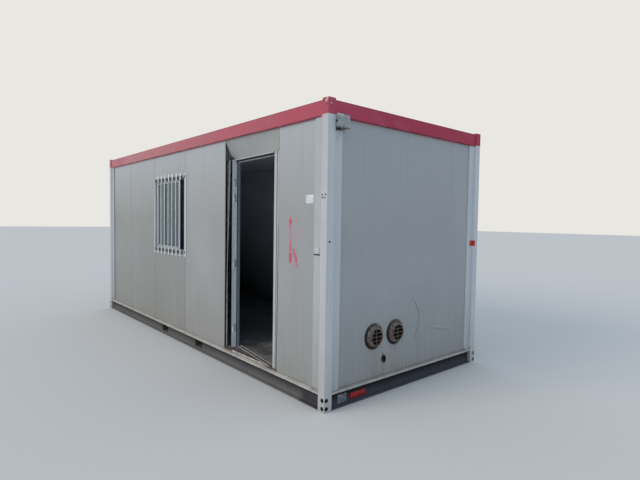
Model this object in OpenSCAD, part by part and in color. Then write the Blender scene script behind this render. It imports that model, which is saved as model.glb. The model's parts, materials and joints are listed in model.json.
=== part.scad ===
// Portable site cabin: a folded steel frame with sandwich panel walls, one barred window
// and one doorway whose leaf is gone and whose frame has been pushed inwards at one side.
// X runs along the long side, the doorway looks towards -Y, and Z is up from the ground.
// The origin is the middle of the footprint at ground level.

/* [Overall size] */
// Length over the corner blocks
cabin_l = 6055; // [5900:5:6400]
// Width over the corner blocks
cabin_w = 2435; // [2300:5:2600]
// Height over the corner blocks
cabin_h = 2740; // [2660:5:2900]

/* [Corner columns] */
// Width of a column on the long side
post_x = 78; // [70:1:90]
// Width of a column on the short side
post_y = 85; // [78:1:100]
// Sheet thickness of a column
post_wall = 4; // [3:0.5:6]
// Bend radius on a column's outer edge
post_r = 6; // [3:1:10]
// How far a foot block is wider than its column, each way
foot_extra = 5; // [2:1:10]
// Height of a foot block
foot_h = 160; // [150:1:200]
// Plate thickness of the corner blocks
block_wall = 6; // [4:1:10]
// Height of a head block
head_h = 140; // [125:1:160]
// Radius of a coupling hole
hole_r = 14; // [8:0.5:16]
// Distance from a coupling hole's axis to the outer edge of its block
hole_edge = 27; // [24:1:32]
// Height of the lower coupling hole
hole_low = 34; // [28:1:40]
// Distance between the two coupling holes of a face
hole_pitch = 74; // [60:1:90]
// Radius of the small hole in a head block's face
head_hole_r = 7; // [5:0.5:10]
// Height of that hole above the head block's underside
head_hole_up = 80; // [60:1:100]

/* [Base frame] */
// Underside of the base rails above the ground
base_lift = 8; // [4:1:20]
// Top of the base frame
base_top = 145; // [135:1:150]
// Recess of a base rail's flange behind the corner blocks
base_in = 3; // [0:1:8]
// Recess of a base rail's web
web_in = 40; // [30:1:60]
// Web thickness of a base rail
base_t = 6; // [4:1:10]
// Flange thickness of a base rail
flange_t = 8; // [5:1:12]
// How far inwards the shelf under the walls reaches
shelf_in = 100; // [96:1:120]
// Clear width of a fork pocket
fork_w = 200; // [160:5:260]
// Clear height of a fork pocket
fork_h = 85; // [60:5:95]
// Distance of a fork pocket from the middle
fork_x = 537; // [480:1:640]
// Plate thickness of a fork sleeve
sleeve_t = 6; // [4:1:8]
// Width of a floor bearer
bearer_w = 50; // [40:1:70]
// Sheet thickness of a floor bearer
bearer_t = 4; // [3:0.5:6]
// Depth of a floor bearer
bearer_h = 105; // [80:1:115]
// Spacing of the floor bearers outside the fork pockets
bearer_pitch = 460; // [400:5:520]
// Thickness of the floor panel
floor_t = 45; // [35:1:60]

/* [Walls] */
// Recess of the wall panels behind the corner blocks
wall_in = 34; // [30:1:36]
// Thickness of a wall panel
wall_t = 60; // [50:1:60]
// Width of the front wall panel at the blind end
first_panel_w = 974.5; // [900:0.5:1050]
// Width of the narrow panel beside the doorway
last_panel_w = 674.5; // [600:0.5:700]
// Width of the groove that shows at a panel joint
groove_w = 5; // [3:1:8]
// Depth of that groove
groove_d = 6; // [3:1:10]
// Recess of the cover strips beside the columns
trim_in = 18; // [14:1:24]
// Width of a cover strip on the long side
trim_front_w = 110; // [90:1:130]
// Width of a cover strip on the short side
trim_end_w = 101; // [85:1:120]
// Sheet thickness of a cover strip
trim_t = 3; // [2:0.5:5]
// Recess of the ledge under the walls
ledge_in = 2; // [0:1:5]
// Height of the ledge at the wall
ledge_h = 21; // [16:1:26]
// Fall of the ledge towards its outer edge
ledge_fall = 6; // [3:1:9]

/* [Roof] */
// Height of a roof rail's outer face
rail_h = 139; // [125:1:150]
// How far the head blocks stand above the roof rails
rail_drop = 13; // [6:1:20]
// Recess of a roof rail's face
rail_in = 10; // [6:1:12]
// Sheet thickness of a roof rail
rail_t = 4; // [3:0.5:6]
// Width of the lip along a roof rail's top
rail_lip = 30; // [20:1:45]
// Distance from a roof rail's face to its gutter's inner wall
gutter_w = 90; // [80:1:110]
// Height of the gutter's inner wall
gutter_h = 72; // [60:1:90]
// Width of the shelf that carries the ceiling
ceiling_shelf = 32; // [20:1:45]
// Thickness of the ceiling panel
ceiling_t = 48; // [30:1:55]
// Spacing of the ribs in the roof sheet
rib_pitch = 250; // [200:5:300]
// Height of a roof rib
rib_h = 24; // [15:1:30]
// Width of a roof rib at its top
rib_top = 60; // [40:1:80]
// Run of a roof rib's sloping side
rib_side = 20; // [10:1:30]
// Thickness of the roof sheet
sheet_t = 3; // [2:0.5:5]
// How far the roof sheet reaches over the gutter
sheet_over = 14; // [8:1:20]

/* [Window] */
// Height of the lower edge of the light opening
light_low = 1255; // [1100:5:1350]
// Height of the light opening
light_h = 965; // [800:5:1000]
// Width of a window stile inside its module
stile_w = 29; // [22:1:40]
// Depth of the window's sill piece
sill_rail = 70; // [50:1:90]
// Depth of the window's head piece
head_rail = 60; // [45:1:80]
// How far the cover frame laps the panels beside it
cover_lap = 31; // [20:1:40]
// How far the cover frame laps the panels above and below
cover_lap_z = 12; // [8:1:20]
// Thickness of the cover frame
cover_t = 8; // [5:1:10]
// Width of a sash's bars
sash_w = 38; // [30:1:50]
// Thickness of a sash
sash_t = 16; // [12:1:18]
// How far the two sashes lap each other when shut
sash_lap = 38; // [30:1:50]
// How far the outer sash stands open
sash_open = 200; // [0:10:400]
// Thickness of the window glass
glass_t = 6; // [4:1:8]
// Height of a grille rail
grille_rail_h = 30; // [20:1:40]
// Thickness of a grille rail
grille_rail_t = 6; // [4:1:6]
// Distance of the grille rails from the edges of the light opening
grille_edge = 8; // [0:1:30]

/* [Doorway] */
// Height of the panel over the door
over_door_h = 216; // [150:1:400]
// Angle by which the door frame is pushed inwards
push_angle = 4; // [0:0.5:5]
// Gap that a side strip closes beside the door frame
side_gap = 35; // [20:1:45]
// Width of a jamb
jamb_w = 68; // [55:1:80]
// Depth of the door frame
jamb_d = 70; // [60:1:80]
// Depth of the rebate for the leaf
rebate_d = 45; // [35:1:50]
// Width of the stop in the rebate
stop_w = 20; // [12:1:25]
// Height of the frame's head
head_face = 34; // [30:1:50]
// Angle by which the loose sill bar is pushed inwards
sill_angle = 9; // [4:0.5:9]
// Depth of the sill bar
sill_d = 46; // [35:1:55]
// Thickness of the sill bar
sill_t = 16; // [12:1:20]
// Extra push at the torn lower corner of the panel over the door
curl = 70; // [0:5:80]
// Height of the lowest hinge above the floor
hinge_low = 230; // [150:5:400]
// Spacing of the hinges
hinge_pitch = 755; // [600:5:850]
// Length of a hinge
hinge_h = 100; // [80:5:140]
// Radius of a hinge's barrel
hinge_r = 7; // [5:0.5:9]

/* [Fittings] */
// Diameter of a vent's flange
vent_d = 239; // [220:1:260]
// Diameter of a vent's mouth
mouth_d = 168; // [150:1:190]
// How far a vent's nose stands out from the wall
nose_out = 44; // [20:1:60]
// Diameter of the duct behind a vent
duct_d = 158; // [130:1:160]
// Distance between the two vents
vent_pitch = 314; // [280:1:340]
// Distance of the vent nearer the doorway side from the cabin's middle plane
vent_y = 557; // [500:1:640]
// Height of the vents
vent_z = 575; // [500:1:700]
// Bar width of a vent's grille
vent_bar = 11; // [6:1:16]
// Height of the small pipe hole below the vents
pipe_z = 322; // [250:1:400]
// Radius of that hole
pipe_r = 11; // [8:1:16]
// Width of the power inlet box
box_w = 139; // [130:1:180]
// How far the power inlet box stands out from the corner blocks
box_out = 32; // [0:1:40]
// Underside of the power inlet box below the roof rail
box_down = 96; // [80:1:130]
// How far the power inlet box laps the roof rail
box_up = 20; // [10:1:30]
// Thickness of the power inlet's lid
lid_t = 3; // [2:0.5:6]
// Radius of the socket hole in the side of the power inlet box
socket_r = 14; // [10:0.5:15]

/* [Hidden] */

hl = cabin_l / 2;
hw = cabin_w / 2;
foot_x = post_x + foot_extra;
foot_y = post_y + foot_extra;
head_bottom = cabin_h - head_h;
rail_top = cabin_h - rail_drop;
rail_bottom = rail_top - rail_h;
wall_back_in = wall_in + wall_t;
floor_top = base_top + floor_t;
ledge_top = base_top + ledge_h;
gutter_in = rail_in + gutter_w;
door_top = rail_bottom - over_door_h;

// Half lengths of what runs between two corner blocks
run_long = hl - foot_x;
run_short = hw - foot_y;
// Four bays of one width stand between the front wall's end panels
module_w = (2 * run_long - first_panel_w - last_panel_w) / 4;
// Joints between the front panels, counted from the left
joint = [for (k = [4:-1:0]) run_long - last_panel_w - k * module_w];

// Ends of the length of base rail that holds a fork pocket
pocket_x0 = fork_x - fork_w / 2 - 40;
pocket_x1 = fork_x + fork_w / 2 + 40;

fork_low = base_lift + flange_t + (base_top - base_lift - 2 * flange_t - fork_h) / 3;

// Light opening of the window
light_x0 = joint[1] + stile_w;
light_x1 = joint[2] - stile_w;
light_top = light_low + light_h;
unit_low = light_low - sill_rail;
unit_top = light_top + head_rail;
sash_len = (light_x1 - light_x0 + sash_lap) / 2;
track_in = wall_in + 14;
track_gap = 2;

// Wrap-up of the vents and the power inlet box
flange_plate = 6;
gland_r = 15;
gland_h = 16;
box_low = rail_bottom - box_down;

c_panel = "#a0a5a5";
c_post = "#b5babd";
c_red = "#a9495c";
c_base = "#3e4348";
c_ledge = "#b8b4ae";
c_zinc = "#9aa0a3";
c_lining = "#6d6a64";

// A side's own frame: x along the side, y inwards from the footprint's edge, z up
module on_side(side) {
    if (side == "front") translate([0, -hw, 0]) children();
    if (side == "back") translate([0, hw, 0]) rotate([0, 0, 180]) children();
    if (side == "right") translate([hl, 0, 0]) rotate([0, 0, 90]) children();
    if (side == "left") translate([-hl, 0, 0]) rotate([0, 0, -90]) children();
}

// Extrudes a cross-section, drawn as inward distance and height, along x
module along(x0, x1) {
    translate([x0, 0, 0]) rotate([90, 0, 90]) linear_extrude(x1 - x0) children();
}

module slab(x0, x1, y0, y1, z0, z1) {
    translate([x0, y0, z0]) cube([x1 - x0, y1 - y0, z1 - z0]);
}

module strip2d(x0, x1, y0, y1) {
    translate([x0, y0]) square([x1 - x0, y1 - y0]);
}

// Channel that is open outwards, and the shelf that the walls stand on
module base_channel() {
    strip2d(base_in, web_in + base_t, base_lift, base_lift + flange_t);
    strip2d(web_in, web_in + base_t, base_lift, base_top);
    strip2d(base_in, web_in + base_t, base_top - flange_t, base_top);
}

module base_shelf() {
    strip2d(web_in, shelf_in, base_top - flange_t, base_top);
}

// Three lengths, with the fork pockets' frames welded in between
module long_base_rail(side) {
    color(c_base) on_side(side) for (x = [[-run_long, -pocket_x1], [-pocket_x0, pocket_x0], [pocket_x1, run_long]])
        along(x[0], x[1]) {
            base_channel();
            base_shelf();
        }
}

module end_base_rail(side) {
    color(c_base) on_side(side) {
        along(-run_short, run_short) base_channel();
        along(-hw + shelf_in, hw - shelf_in) base_shelf();
    }
}

module fork_pocket_frames() {
    color(c_base) for (side = ["front", "back"], s = [-1, 1]) on_side(side) translate([s * fork_x, 0, 0])
        difference() {
            along(pocket_x0 - fork_x, pocket_x1 - fork_x) {
                base_channel();
                base_shelf();
            }
            slab(-fork_w / 2, fork_w / 2, 0, shelf_in, fork_low, fork_low + fork_h);
        }
}

module fork_sleeves() {
    half = hw - web_in - base_t;
    color(c_base) for (s = [-1, 1]) translate([s * fork_x, 0, fork_low]) difference() {
        slab(-fork_w / 2 - sleeve_t, fork_w / 2 + sleeve_t, -half, half, -sleeve_t, fork_h + sleeve_t);
        slab(-fork_w / 2, fork_w / 2, -half - 1, half + 1, 0, fork_h);
    }
}

// Folded channel across the base, open towards +X
module bearer() {
    half = hw - web_in - base_t;
    difference() {
        slab(-bearer_w / 2, bearer_w / 2, -half, half, base_top - bearer_h, base_top);
        slab(-bearer_w / 2 + bearer_t, bearer_w / 2 + 1, -half - 1, half + 1,
            base_top - bearer_h + bearer_t, base_top - bearer_t);
    }
}

// The shelves of the long rails lie in the same plane, so a bearer is notched round them
module notched_bearer() {
    difference() {
        bearer();
        for (s = [-1, 1]) translate([-bearer_w, s > 0 ? hw - shelf_in : -hw, base_top - flange_t])
            cube([2 * bearer_w, shelf_in, 2 * flange_t]);
    }
}

module floor_bearers() {
    inner = fork_x - fork_w / 2 - sleeve_t - bearer_w;
    outer = fork_x + fork_w / 2 + sleeve_t + bearer_w;
    last = hl - shelf_in - bearer_w;
    color(c_base) {
        notched_bearer();
        for (s = [-1, 1]) {
            translate([s * inner, 0, 0]) notched_bearer();
            for (x = [outer:bearer_pitch:last]) translate([s * x, 0, 0]) notched_bearer();
        }
    }
}

module floor_panel() {
    color(c_lining) slab(-hl + wall_back_in, hl - wall_back_in, -hw + wall_back_in, hw - wall_back_in,
        base_top, floor_top);
}

module coupling_hole(turn) {
    rotate(turn) cylinder(r = hole_r, h = 4 * block_wall, center = true, $fn = 64);
}

module foot_block(sx, sy) {
    cx = sx * (hl - foot_x / 2);
    cy = sy * (hw - foot_y / 2);
    difference() {
        translate([cx, cy, foot_h / 2]) cube([foot_x, foot_y, foot_h], center = true);
        translate([cx, cy, foot_h / 2])
            cube([foot_x - 2 * block_wall, foot_y - 2 * block_wall, foot_h - 2 * block_wall], center = true);
        for (z = [hole_low, hole_low + hole_pitch]) {
            translate([sx * (hl - hole_edge), sy * hw, z]) coupling_hole([90, 0, 0]);
            translate([sx * hl, sy * (hw - hole_edge), z]) coupling_hole([0, 90, 0]);
        }
    }
}

module foot_blocks() {
    color(c_post) for (sx = [-1, 1], sy = [-1, 1]) foot_block(sx, sy);
}

module head_block(sx, sy) {
    cx = sx * (hl - post_x / 2);
    cy = sy * (hw - post_y / 2);
    cz = head_bottom + head_h / 2;
    hz = head_bottom + head_hole_up;
    difference() {
        translate([cx, cy, cz]) cube([post_x, post_y, head_h], center = true);
        translate([cx, cy, cz])
            cube([post_x - 2 * block_wall, post_y - 2 * block_wall, head_h - 2 * block_wall], center = true);
        translate([sx * (hl - hole_edge), sy * hw, hz]) rotate([90, 0, 0])
            cylinder(r = head_hole_r, h = 4 * block_wall, center = true, $fn = 48);
        translate([sx * hl, sy * (hw - post_y / 2), hz]) rotate([0, 90, 0])
            cylinder(r = head_hole_r, h = 4 * block_wall, center = true, $fn = 48);
    }
}

module head_blocks() {
    color(c_red) for (sx = [-1, 1], sy = [-1, 1]) head_block(sx, sy);
}

// Closed folded column with a rounded outer edge
module post(sx, sy) {
    color(c_post) translate([0, 0, foot_h]) linear_extrude(head_bottom - foot_h) difference() {
        union() {
            translate([sx * (hl - post_x / 2), sy * (hw - post_y / 2)]) difference() {
                square([post_x, post_y], center = true);
                translate([sx * post_x / 2, sy * post_y / 2]) square(2 * post_r, center = true);
            }
            translate([sx * (hl - post_r), sy * (hw - post_r)]) circle(r = post_r, $fn = 48);
        }
        translate([sx * (hl - post_x / 2), sy * (hw - post_y / 2)])
            square([post_x - 2 * post_wall - post_r / 2, post_y - 2 * post_wall - post_r / 2], center = true);
    }
}

// Folded cover strip: a face with a return leg along each edge
module cover_strip(x0, x1, z1) {
    difference() {
        slab(x0, x1, trim_in, wall_in, ledge_top, z1);
        slab(x0 + trim_t, x1 - trim_t, trim_in + trim_t, wall_in + 1, ledge_top - 1, z1 + 1);
    }
}

module corner_strips() {
    long_in = hl - post_x;
    short_in = hw - post_y;
    under_box = box_low - gland_h - trim_t;
    color(c_post) {
        for (side = ["front", "back"]) on_side(side) {
            cover_strip(-long_in, -long_in + trim_front_w, rail_bottom);
            cover_strip(long_in - trim_front_w, long_in, rail_bottom);
        }
        for (side = ["left", "right"]) on_side(side) {
            cover_strip(-short_in, -short_in + trim_end_w, side == "right" ? under_box : rail_bottom);
            cover_strip(short_in - trim_end_w, short_in, rail_bottom);
        }
    }
}

module ledge(half) {
    along(-half, half) polygon([
        [ledge_in, base_top], [wall_in, base_top],
        [wall_in, ledge_top], [ledge_in, ledge_top - ledge_fall]
    ]);
}

module ledges() {
    color(c_ledge) {
        for (side = ["front", "back"]) on_side(side) ledge(run_long);
        for (side = ["left", "right"]) on_side(side) ledge(run_short);
    }
}

// Half of the groove that shows between two panels
module edge_groove(x, z0, z1) {
    slab(x - groove_w / 2, x + groove_w / 2, wall_in - 1, wall_in + groove_d, z0 - 1, z1 + 1);
}

module panel(x0, x1, z0, z1, joints) {
    difference() {
        slab(x0, x1, wall_in, wall_back_in, z0, z1);
        for (x = joints) edge_groove(x, z0, z1);
    }
}

module front_panel_1() {
    color(c_panel) on_side("front") panel(-run_long, joint[0], base_top, rail_bottom, [joint[0]]);
}

module front_panel_2() {
    color(c_panel) on_side("front") panel(joint[0], joint[1], base_top, rail_bottom, [joint[0], joint[1]]);
}

module panel_under_window() {
    color(c_panel) on_side("front") panel(joint[1], joint[2], base_top, unit_low, [joint[1], joint[2]]);
}

module panel_over_window() {
    color(c_panel) on_side("front") panel(joint[1], joint[2], unit_top, rail_bottom, [joint[1], joint[2]]);
}

// The panel beside the doorway shows its hollow edge profile
module front_panel_3() {
    lip = 9;
    deep = 20;
    color(c_panel) on_side("front") difference() {
        panel(joint[2], joint[3], base_top, rail_bottom, [joint[2]]);
        slab(joint[3] - deep, joint[3] + 1, wall_in + lip, wall_back_in - lip, base_top - 1, rail_bottom + 1);
    }
}

module front_panel_4() {
    color(c_panel) on_side("front") panel(joint[4], run_long, base_top, rail_bottom, [joint[4]]);
}

// Inward push of the panel over the door: u runs from its torn edge to its sound one,
// t from its top to its bottom
function pushed(u, t) = (1 - u) * t * module_w * sin(push_angle)
    + exp(-u / 0.07) * curl * (t / 7 + pow(t, 8));

module over_door_panel() {
    nu = 12;
    nt = 9;
    x0 = joint[3] + 3;
    wide = joint[4] - x0;
    us = [for (i = [0:nu]) pow(i / nu, 1.8)];
    ts = [for (j = [0:nt]) 1 - pow(1 - j / nt, 1.5)];
    face = [for (t = ts, u = us) [x0 + u * wide, pushed(u, t), rail_bottom - t * (rail_bottom - door_top)]];
    pts = concat([for (p = face) p + [0, wall_in, 0]], [for (p = face) p + [0, wall_back_in, 0]]);
    n = nu + 1;
    b = n * (nt + 1);
    skins = [for (j = [0:nt - 1], i = [0:nu - 1]) let (a = j * n + i)
        each [[a, a + 1, a + n + 1], [a, a + n + 1, a + n],
              [b + a, b + a + n + 1, b + a + 1], [b + a, b + a + n, b + a + n + 1]]];
    edges_x = [for (i = [0:nu - 1]) let (a = i, d = nt * n + i)
        each [[a, b + a, b + a + 1, a + 1], [d, d + 1, b + d + 1, b + d]]];
    edges_z = [for (j = [0:nt - 1]) let (a = j * n, d = j * n + nu)
        each [[b + a, a, a + n, b + a + n], [d, b + d, b + d + n, d + n]]];
    color(c_panel) on_side("front") polyhedron(pts, concat(skins, edges_x, edges_z), 6);
}

module wall_back() {
    half = run_long;
    color(c_panel) on_side("back")
        panel(-half, half, base_top, rail_bottom, [for (k = [-2:2]) k * module_w]);
}

module wall_left() {
    half = hw - wall_back_in;
    color(c_panel) on_side("left") panel(-half, half, base_top, rail_bottom, []);
}

module vent_hole() {
    rotate([-90, 0, 0]) cylinder(d = duct_d, h = wall_back_in + 1, $fn = 96);
}

// The end wall with its two ducts and the small pipe hole below them
module wall_right() {
    half = hw - wall_back_in;
    pipe_y = -vent_y + vent_pitch / 2 - pipe_r;
    color(c_panel) on_side("right") difference() {
        panel(-half, half, base_top, rail_bottom, []);
        for (k = [0, 1]) translate([-vent_y + k * vent_pitch, 0, vent_z]) vent_hole();
        translate([pipe_y, 0, pipe_z]) rotate([-90, 0, 0])
            cylinder(r = pipe_r, h = wall_back_in + 1, $fn = 48);
    }
}

// Roof rail: an outer face with a lip, and a gutter with a shelf for the ceiling behind it
module roof_rail(half, gutter_half) {
    along(-half, half) {
        strip2d(rail_in, rail_in + rail_t, rail_bottom, rail_top);
        strip2d(rail_in, rail_in + rail_lip, rail_top - rail_t, rail_top);
        strip2d(rail_in, rail_in + rail_lip, rail_bottom, rail_bottom + rail_t);
    }
    along(-gutter_half, gutter_half) {
        strip2d(rail_in, gutter_in + ceiling_shelf, rail_bottom, rail_bottom + rail_t);
        strip2d(gutter_in - rail_t, gutter_in, rail_bottom, rail_bottom + gutter_h);
    }
}

module long_roof_rail(side) {
    color(c_red) on_side(side) roof_rail(hl - post_x, hl - post_x);
}

module end_roof_rail(side) {
    color(c_red) on_side(side) roof_rail(hw - post_y, hw - gutter_in - ceiling_shelf);
}

// Ribbed roof sheet that lies on the gutters' inner walls
module roof_sheet() {
    half = hl - gutter_in + sheet_over;
    half_y = hw - gutter_in + sheet_over;
    count = floor((half - rib_top) / rib_pitch);
    low = rail_bottom + gutter_h;
    rib = rib_top / 2;
    line = concat(
        [[-half, 0]],
        [for (k = [-count:count]) let (x = k * rib_pitch)
            each [[x - rib - rib_side, 0], [x - rib, rib_h], [x + rib, rib_h], [x + rib + rib_side, 0]]],
        [[half, 0]]);
    upper = [for (p = line) [p[0], p[1] + sheet_t]];
    lower = [for (i = [len(line) - 1:-1:0]) line[i]];
    color(c_zinc) translate([0, half_y, low]) rotate([90, 0, 0]) linear_extrude(2 * half_y)
        polygon(concat(upper, lower));
}

module ceiling_panel() {
    in = gutter_in;
    low = rail_bottom + rail_t;
    color(c_lining) slab(-hl + in, hl - in, -hw + in, hw - in, low, low + ceiling_t);
}

// Window unit: a body in the wall's thickness and a flat cover frame in front of it
module window_frame() {
    color(c_post) on_side("front") difference() {
        union() {
            slab(joint[1], joint[2], wall_in, wall_back_in, unit_low, unit_top);
            slab(joint[1] - cover_lap, joint[2] + cover_lap, wall_in - cover_t, wall_in,
                unit_low - cover_lap_z, unit_top + cover_lap_z);
        }
        slab(light_x0, light_x1, 0, wall_back_in + 1, light_low, light_top);
    }
}

module sash(x0, y0) {
    difference() {
        slab(x0, x0 + sash_len, y0, y0 + sash_t, light_low, light_top);
        slab(x0 + sash_w, x0 + sash_len - sash_w, y0 - 1, y0 + sash_t + 1, light_low + sash_w, light_top - sash_w);
    }
}

module pane(x0, y0) {
    mid = y0 + sash_t / 2;
    slab(x0 + sash_w, x0 + sash_len - sash_w, mid - glass_t / 2, mid + glass_t / 2,
        light_low + sash_w, light_top - sash_w);
}

inner_track = track_in + sash_t + track_gap;
outer_sash_x = light_x1 - sash_len - sash_open;

module window_sashes() {
    color(c_post) on_side("front") {
        sash(outer_sash_x, track_in);
        sash(light_x0, inner_track);
    }
}

module window_glass() {
    color("#6f7f80", 0.5) on_side("front") {
        pane(outer_sash_x, track_in);
        pane(light_x0, inner_track);
    }
}

// Two flat rails over the light opening, which carry the window's bars
module grille_rails() {
    face = wall_in - cover_t;
    color(c_zinc) on_side("front") {
        slab(light_x0 - stile_w, light_x1 + stile_w, face - grille_rail_t, face,
            light_top + grille_edge, light_top + grille_edge + grille_rail_h);
        slab(light_x0 - stile_w, light_x1 + stile_w, face - grille_rail_t, face,
            light_low - grille_edge - grille_rail_h, light_low - grille_edge);
    }
}

module threshold() {
    color("#6b5648") on_side("front") slab(joint[3], joint[4], wall_in, wall_back_in, base_top, floor_top);
}

// The door unit turns about its sound edge; its own x runs back from that edge
module door_unit() {
    on_side("front") translate([joint[4], wall_in, 0]) rotate([0, 0, -push_angle]) children();
}

// Cross-section of a jamb: outer face, rebate and stop, drawn with its clear side at x = 0
module jamb_section() {
    difference() {
        translate([0, 0]) square([jamb_w, jamb_d]);
        translate([-1, -1]) square([stop_w + 1, rebate_d + 1]);
    }
}

module door_frame() {
    clear_x = -side_gap - jamb_w;
    far_x = -module_w + side_gap + jamb_w;
    color(c_post) door_unit() {
        translate([clear_x, 0, floor_top]) linear_extrude(door_top - floor_top) jamb_section();
        translate([far_x, 0, floor_top]) linear_extrude(door_top - floor_top) mirror([1, 0]) jamb_section();
        difference() {
            slab(far_x - 1, clear_x + 1, 0, jamb_d, door_top - head_face, door_top);
            slab(far_x - stop_w, clear_x + stop_w, -1, rebate_d, door_top - head_face - 1, door_top - head_face + stop_w);
        }
    }
}

// Frame halves of the lift-off hinges, with the pins that the missing leaf hung on
module door_hinges() {
    jamb_x = -module_w + side_gap + jamb_w - stop_w;
    leaf_t = 3;
    leaf_d = 36;
    pin_r = hinge_r * 0.55;
    barrel_y = -4;
    color(c_zinc) door_unit() for (k = [0:2])
        translate([jamb_x, 0, floor_top + hinge_low + k * hinge_pitch - hinge_h / 2]) {
            slab(0, leaf_t, barrel_y, leaf_d, 0, hinge_h);
            translate([hinge_r, barrel_y, 0]) cylinder(r = hinge_r, h = hinge_h / 2, $fn = 48);
            translate([hinge_r, barrel_y, 0]) cylinder(r = pin_r, h = hinge_h - 4, $fn = 32);
        }
}

module door_side_strips() {
    back = 6;
    deep = 40;
    edge = 5;
    color(c_post) door_unit() {
        slab(-side_gap, -edge, back, back + deep, floor_top, door_top);
        slab(-module_w + edge, -module_w + side_gap, back, back + deep, floor_top, door_top);
    }
}

// Loose sill bar with a drip groove along its top
module door_sill() {
    clear = module_w - 2 * side_gap - 2 * jamb_w;
    nose = 24;
    shy = 4;
    groove = 13;
    color(c_ledge) on_side("front")
        translate([joint[4] - side_gap - jamb_w - shy, wall_in - nose, floor_top]) rotate([0, 0, -sill_angle])
        difference() {
            slab(-clear + 2 * shy, 0, 0, sill_d, 0, sill_t);
            slab(-clear, 1, sill_d / 2 - groove / 2, sill_d / 2 + groove / 2, sill_t * 0.35, sill_t + 1);
        }
}

// Loose joint lath that leans in the gap beside the doorway, split off narrower at its foot
module joint_lath() {
    lath_t = 5;
    front = wall_in + 22;
    narrow = 14;
    wide = 46;
    knee_z = floor_top + 0.45 * (door_top - floor_top);
    color("#7a6f66") on_side("front") along(joint[3], joint[3] + lath_t) polygon([
        [front, floor_top], [front + narrow, floor_top], [front + narrow, knee_z],
        [front + wide, door_top - 8], [front + 6, door_top - 8]
    ]);
}

// Round vent: flange, tapering nose and duct, turned in one, with a barred mouth
module vent(x) {
    rim = 8;
    nose_r = mouth_d / 2;
    root_r = vent_d / 2 - 16;
    bore_r = duct_d / 2 - 4;
    vent_depth = nose_out;
    color("#8a7a70") on_side("right") translate([x, wall_in, vent_z]) {
        rotate([-90, 0, 0]) rotate_extrude($fn = 96) polygon([
            [vent_d / 2, 0], [vent_d / 2, -flange_plate + 2], [vent_d / 2 - 3, -flange_plate],
            [root_r, -flange_plate], [nose_r + 2, -vent_depth], [nose_r - rim, -vent_depth],
            [nose_r - rim, -vent_depth + 10], [bore_r, -vent_depth + 14], [bore_r, wall_t],
            [duct_d / 2, wall_t], [duct_d / 2, 0]
        ]);
        intersection() {
            rotate([90, 0, 0]) translate([0, 0, vent_depth - 9])
                cylinder(r = nose_r - rim / 2, h = 6, $fn = 96);
            union() {
                slab(-vent_bar / 2, vent_bar / 2, -vent_depth, 0, -nose_r, nose_r);
                for (k = [-1:1]) slab(-nose_r, nose_r, -vent_depth, 0,
                    k * mouth_d / 4.4 - vent_bar / 2, k * mouth_d / 4.4 + vent_bar / 2);
            }
        }
    }
}

// Power inlet under the roof rail: box, lid with a lower lip, side socket and cable gland
module power_box() {
    x0 = -(hw - post_y);
    x1 = x0 + box_w;
    face = -box_out;
    socket_y = face + socket_r + 4;
    socket_deep = 24;
    lid_lip = 8;
    color("#8b9389") on_side("right") difference() {
        union() {
            slab(x0, x1, face, wall_in, box_low, rail_bottom);
            slab(x0, x1, face, rail_in, box_low, rail_bottom + box_up);
            slab(x0 + 4, x1, face - lid_t, face, box_low - lid_lip, rail_bottom + box_up - 6);
            translate([x0 + box_w / 2 - gland_r, gland_r - 8, box_low - gland_h])
                cylinder(r = gland_r, h = gland_h + 1, $fn = 48);
        }
        translate([x0 - 1, socket_y, box_low + box_down * 0.55]) rotate([0, 90, 0])
            cylinder(r = socket_r, h = socket_deep + 1, $fn = 48);
    }
}

long_base_rail("front");  // base_rail_front
long_base_rail("back");  // base_rail_back
end_base_rail("left");  // base_rail_left
end_base_rail("right");  // base_rail_right
fork_pocket_frames();
fork_sleeves();
floor_bearers();
floor_panel();
foot_blocks();
head_blocks();
post(-1, -1);  // post_front_left
post(1, -1);  // post_front_right
post(-1, 1);  // post_back_left
post(1, 1);  // post_back_right
corner_strips();
ledges();
front_panel_1();
front_panel_2();
panel_under_window();
panel_over_window();
front_panel_3();
over_door_panel();
front_panel_4();
wall_back();
wall_left();
wall_right();
long_roof_rail("front");  // roof_rail_front
long_roof_rail("back");  // roof_rail_back
end_roof_rail("left");  // roof_rail_left
end_roof_rail("right");  // roof_rail_right
roof_sheet();
ceiling_panel();
window_frame();
window_sashes();
window_glass();
grille_rails();
threshold();
door_frame();
door_hinges();
door_side_strips();
door_sill();
joint_lath();
vent(-vent_y);  // vent_left
vent(-vent_y + vent_pitch);  // vent_right
power_box();
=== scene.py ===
import json
import random
from contextlib import contextmanager
from functools import partial
from math import cos, pi, radians, sin, tan

import bmesh
import bpy
from mathutils import Matrix, Vector

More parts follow.
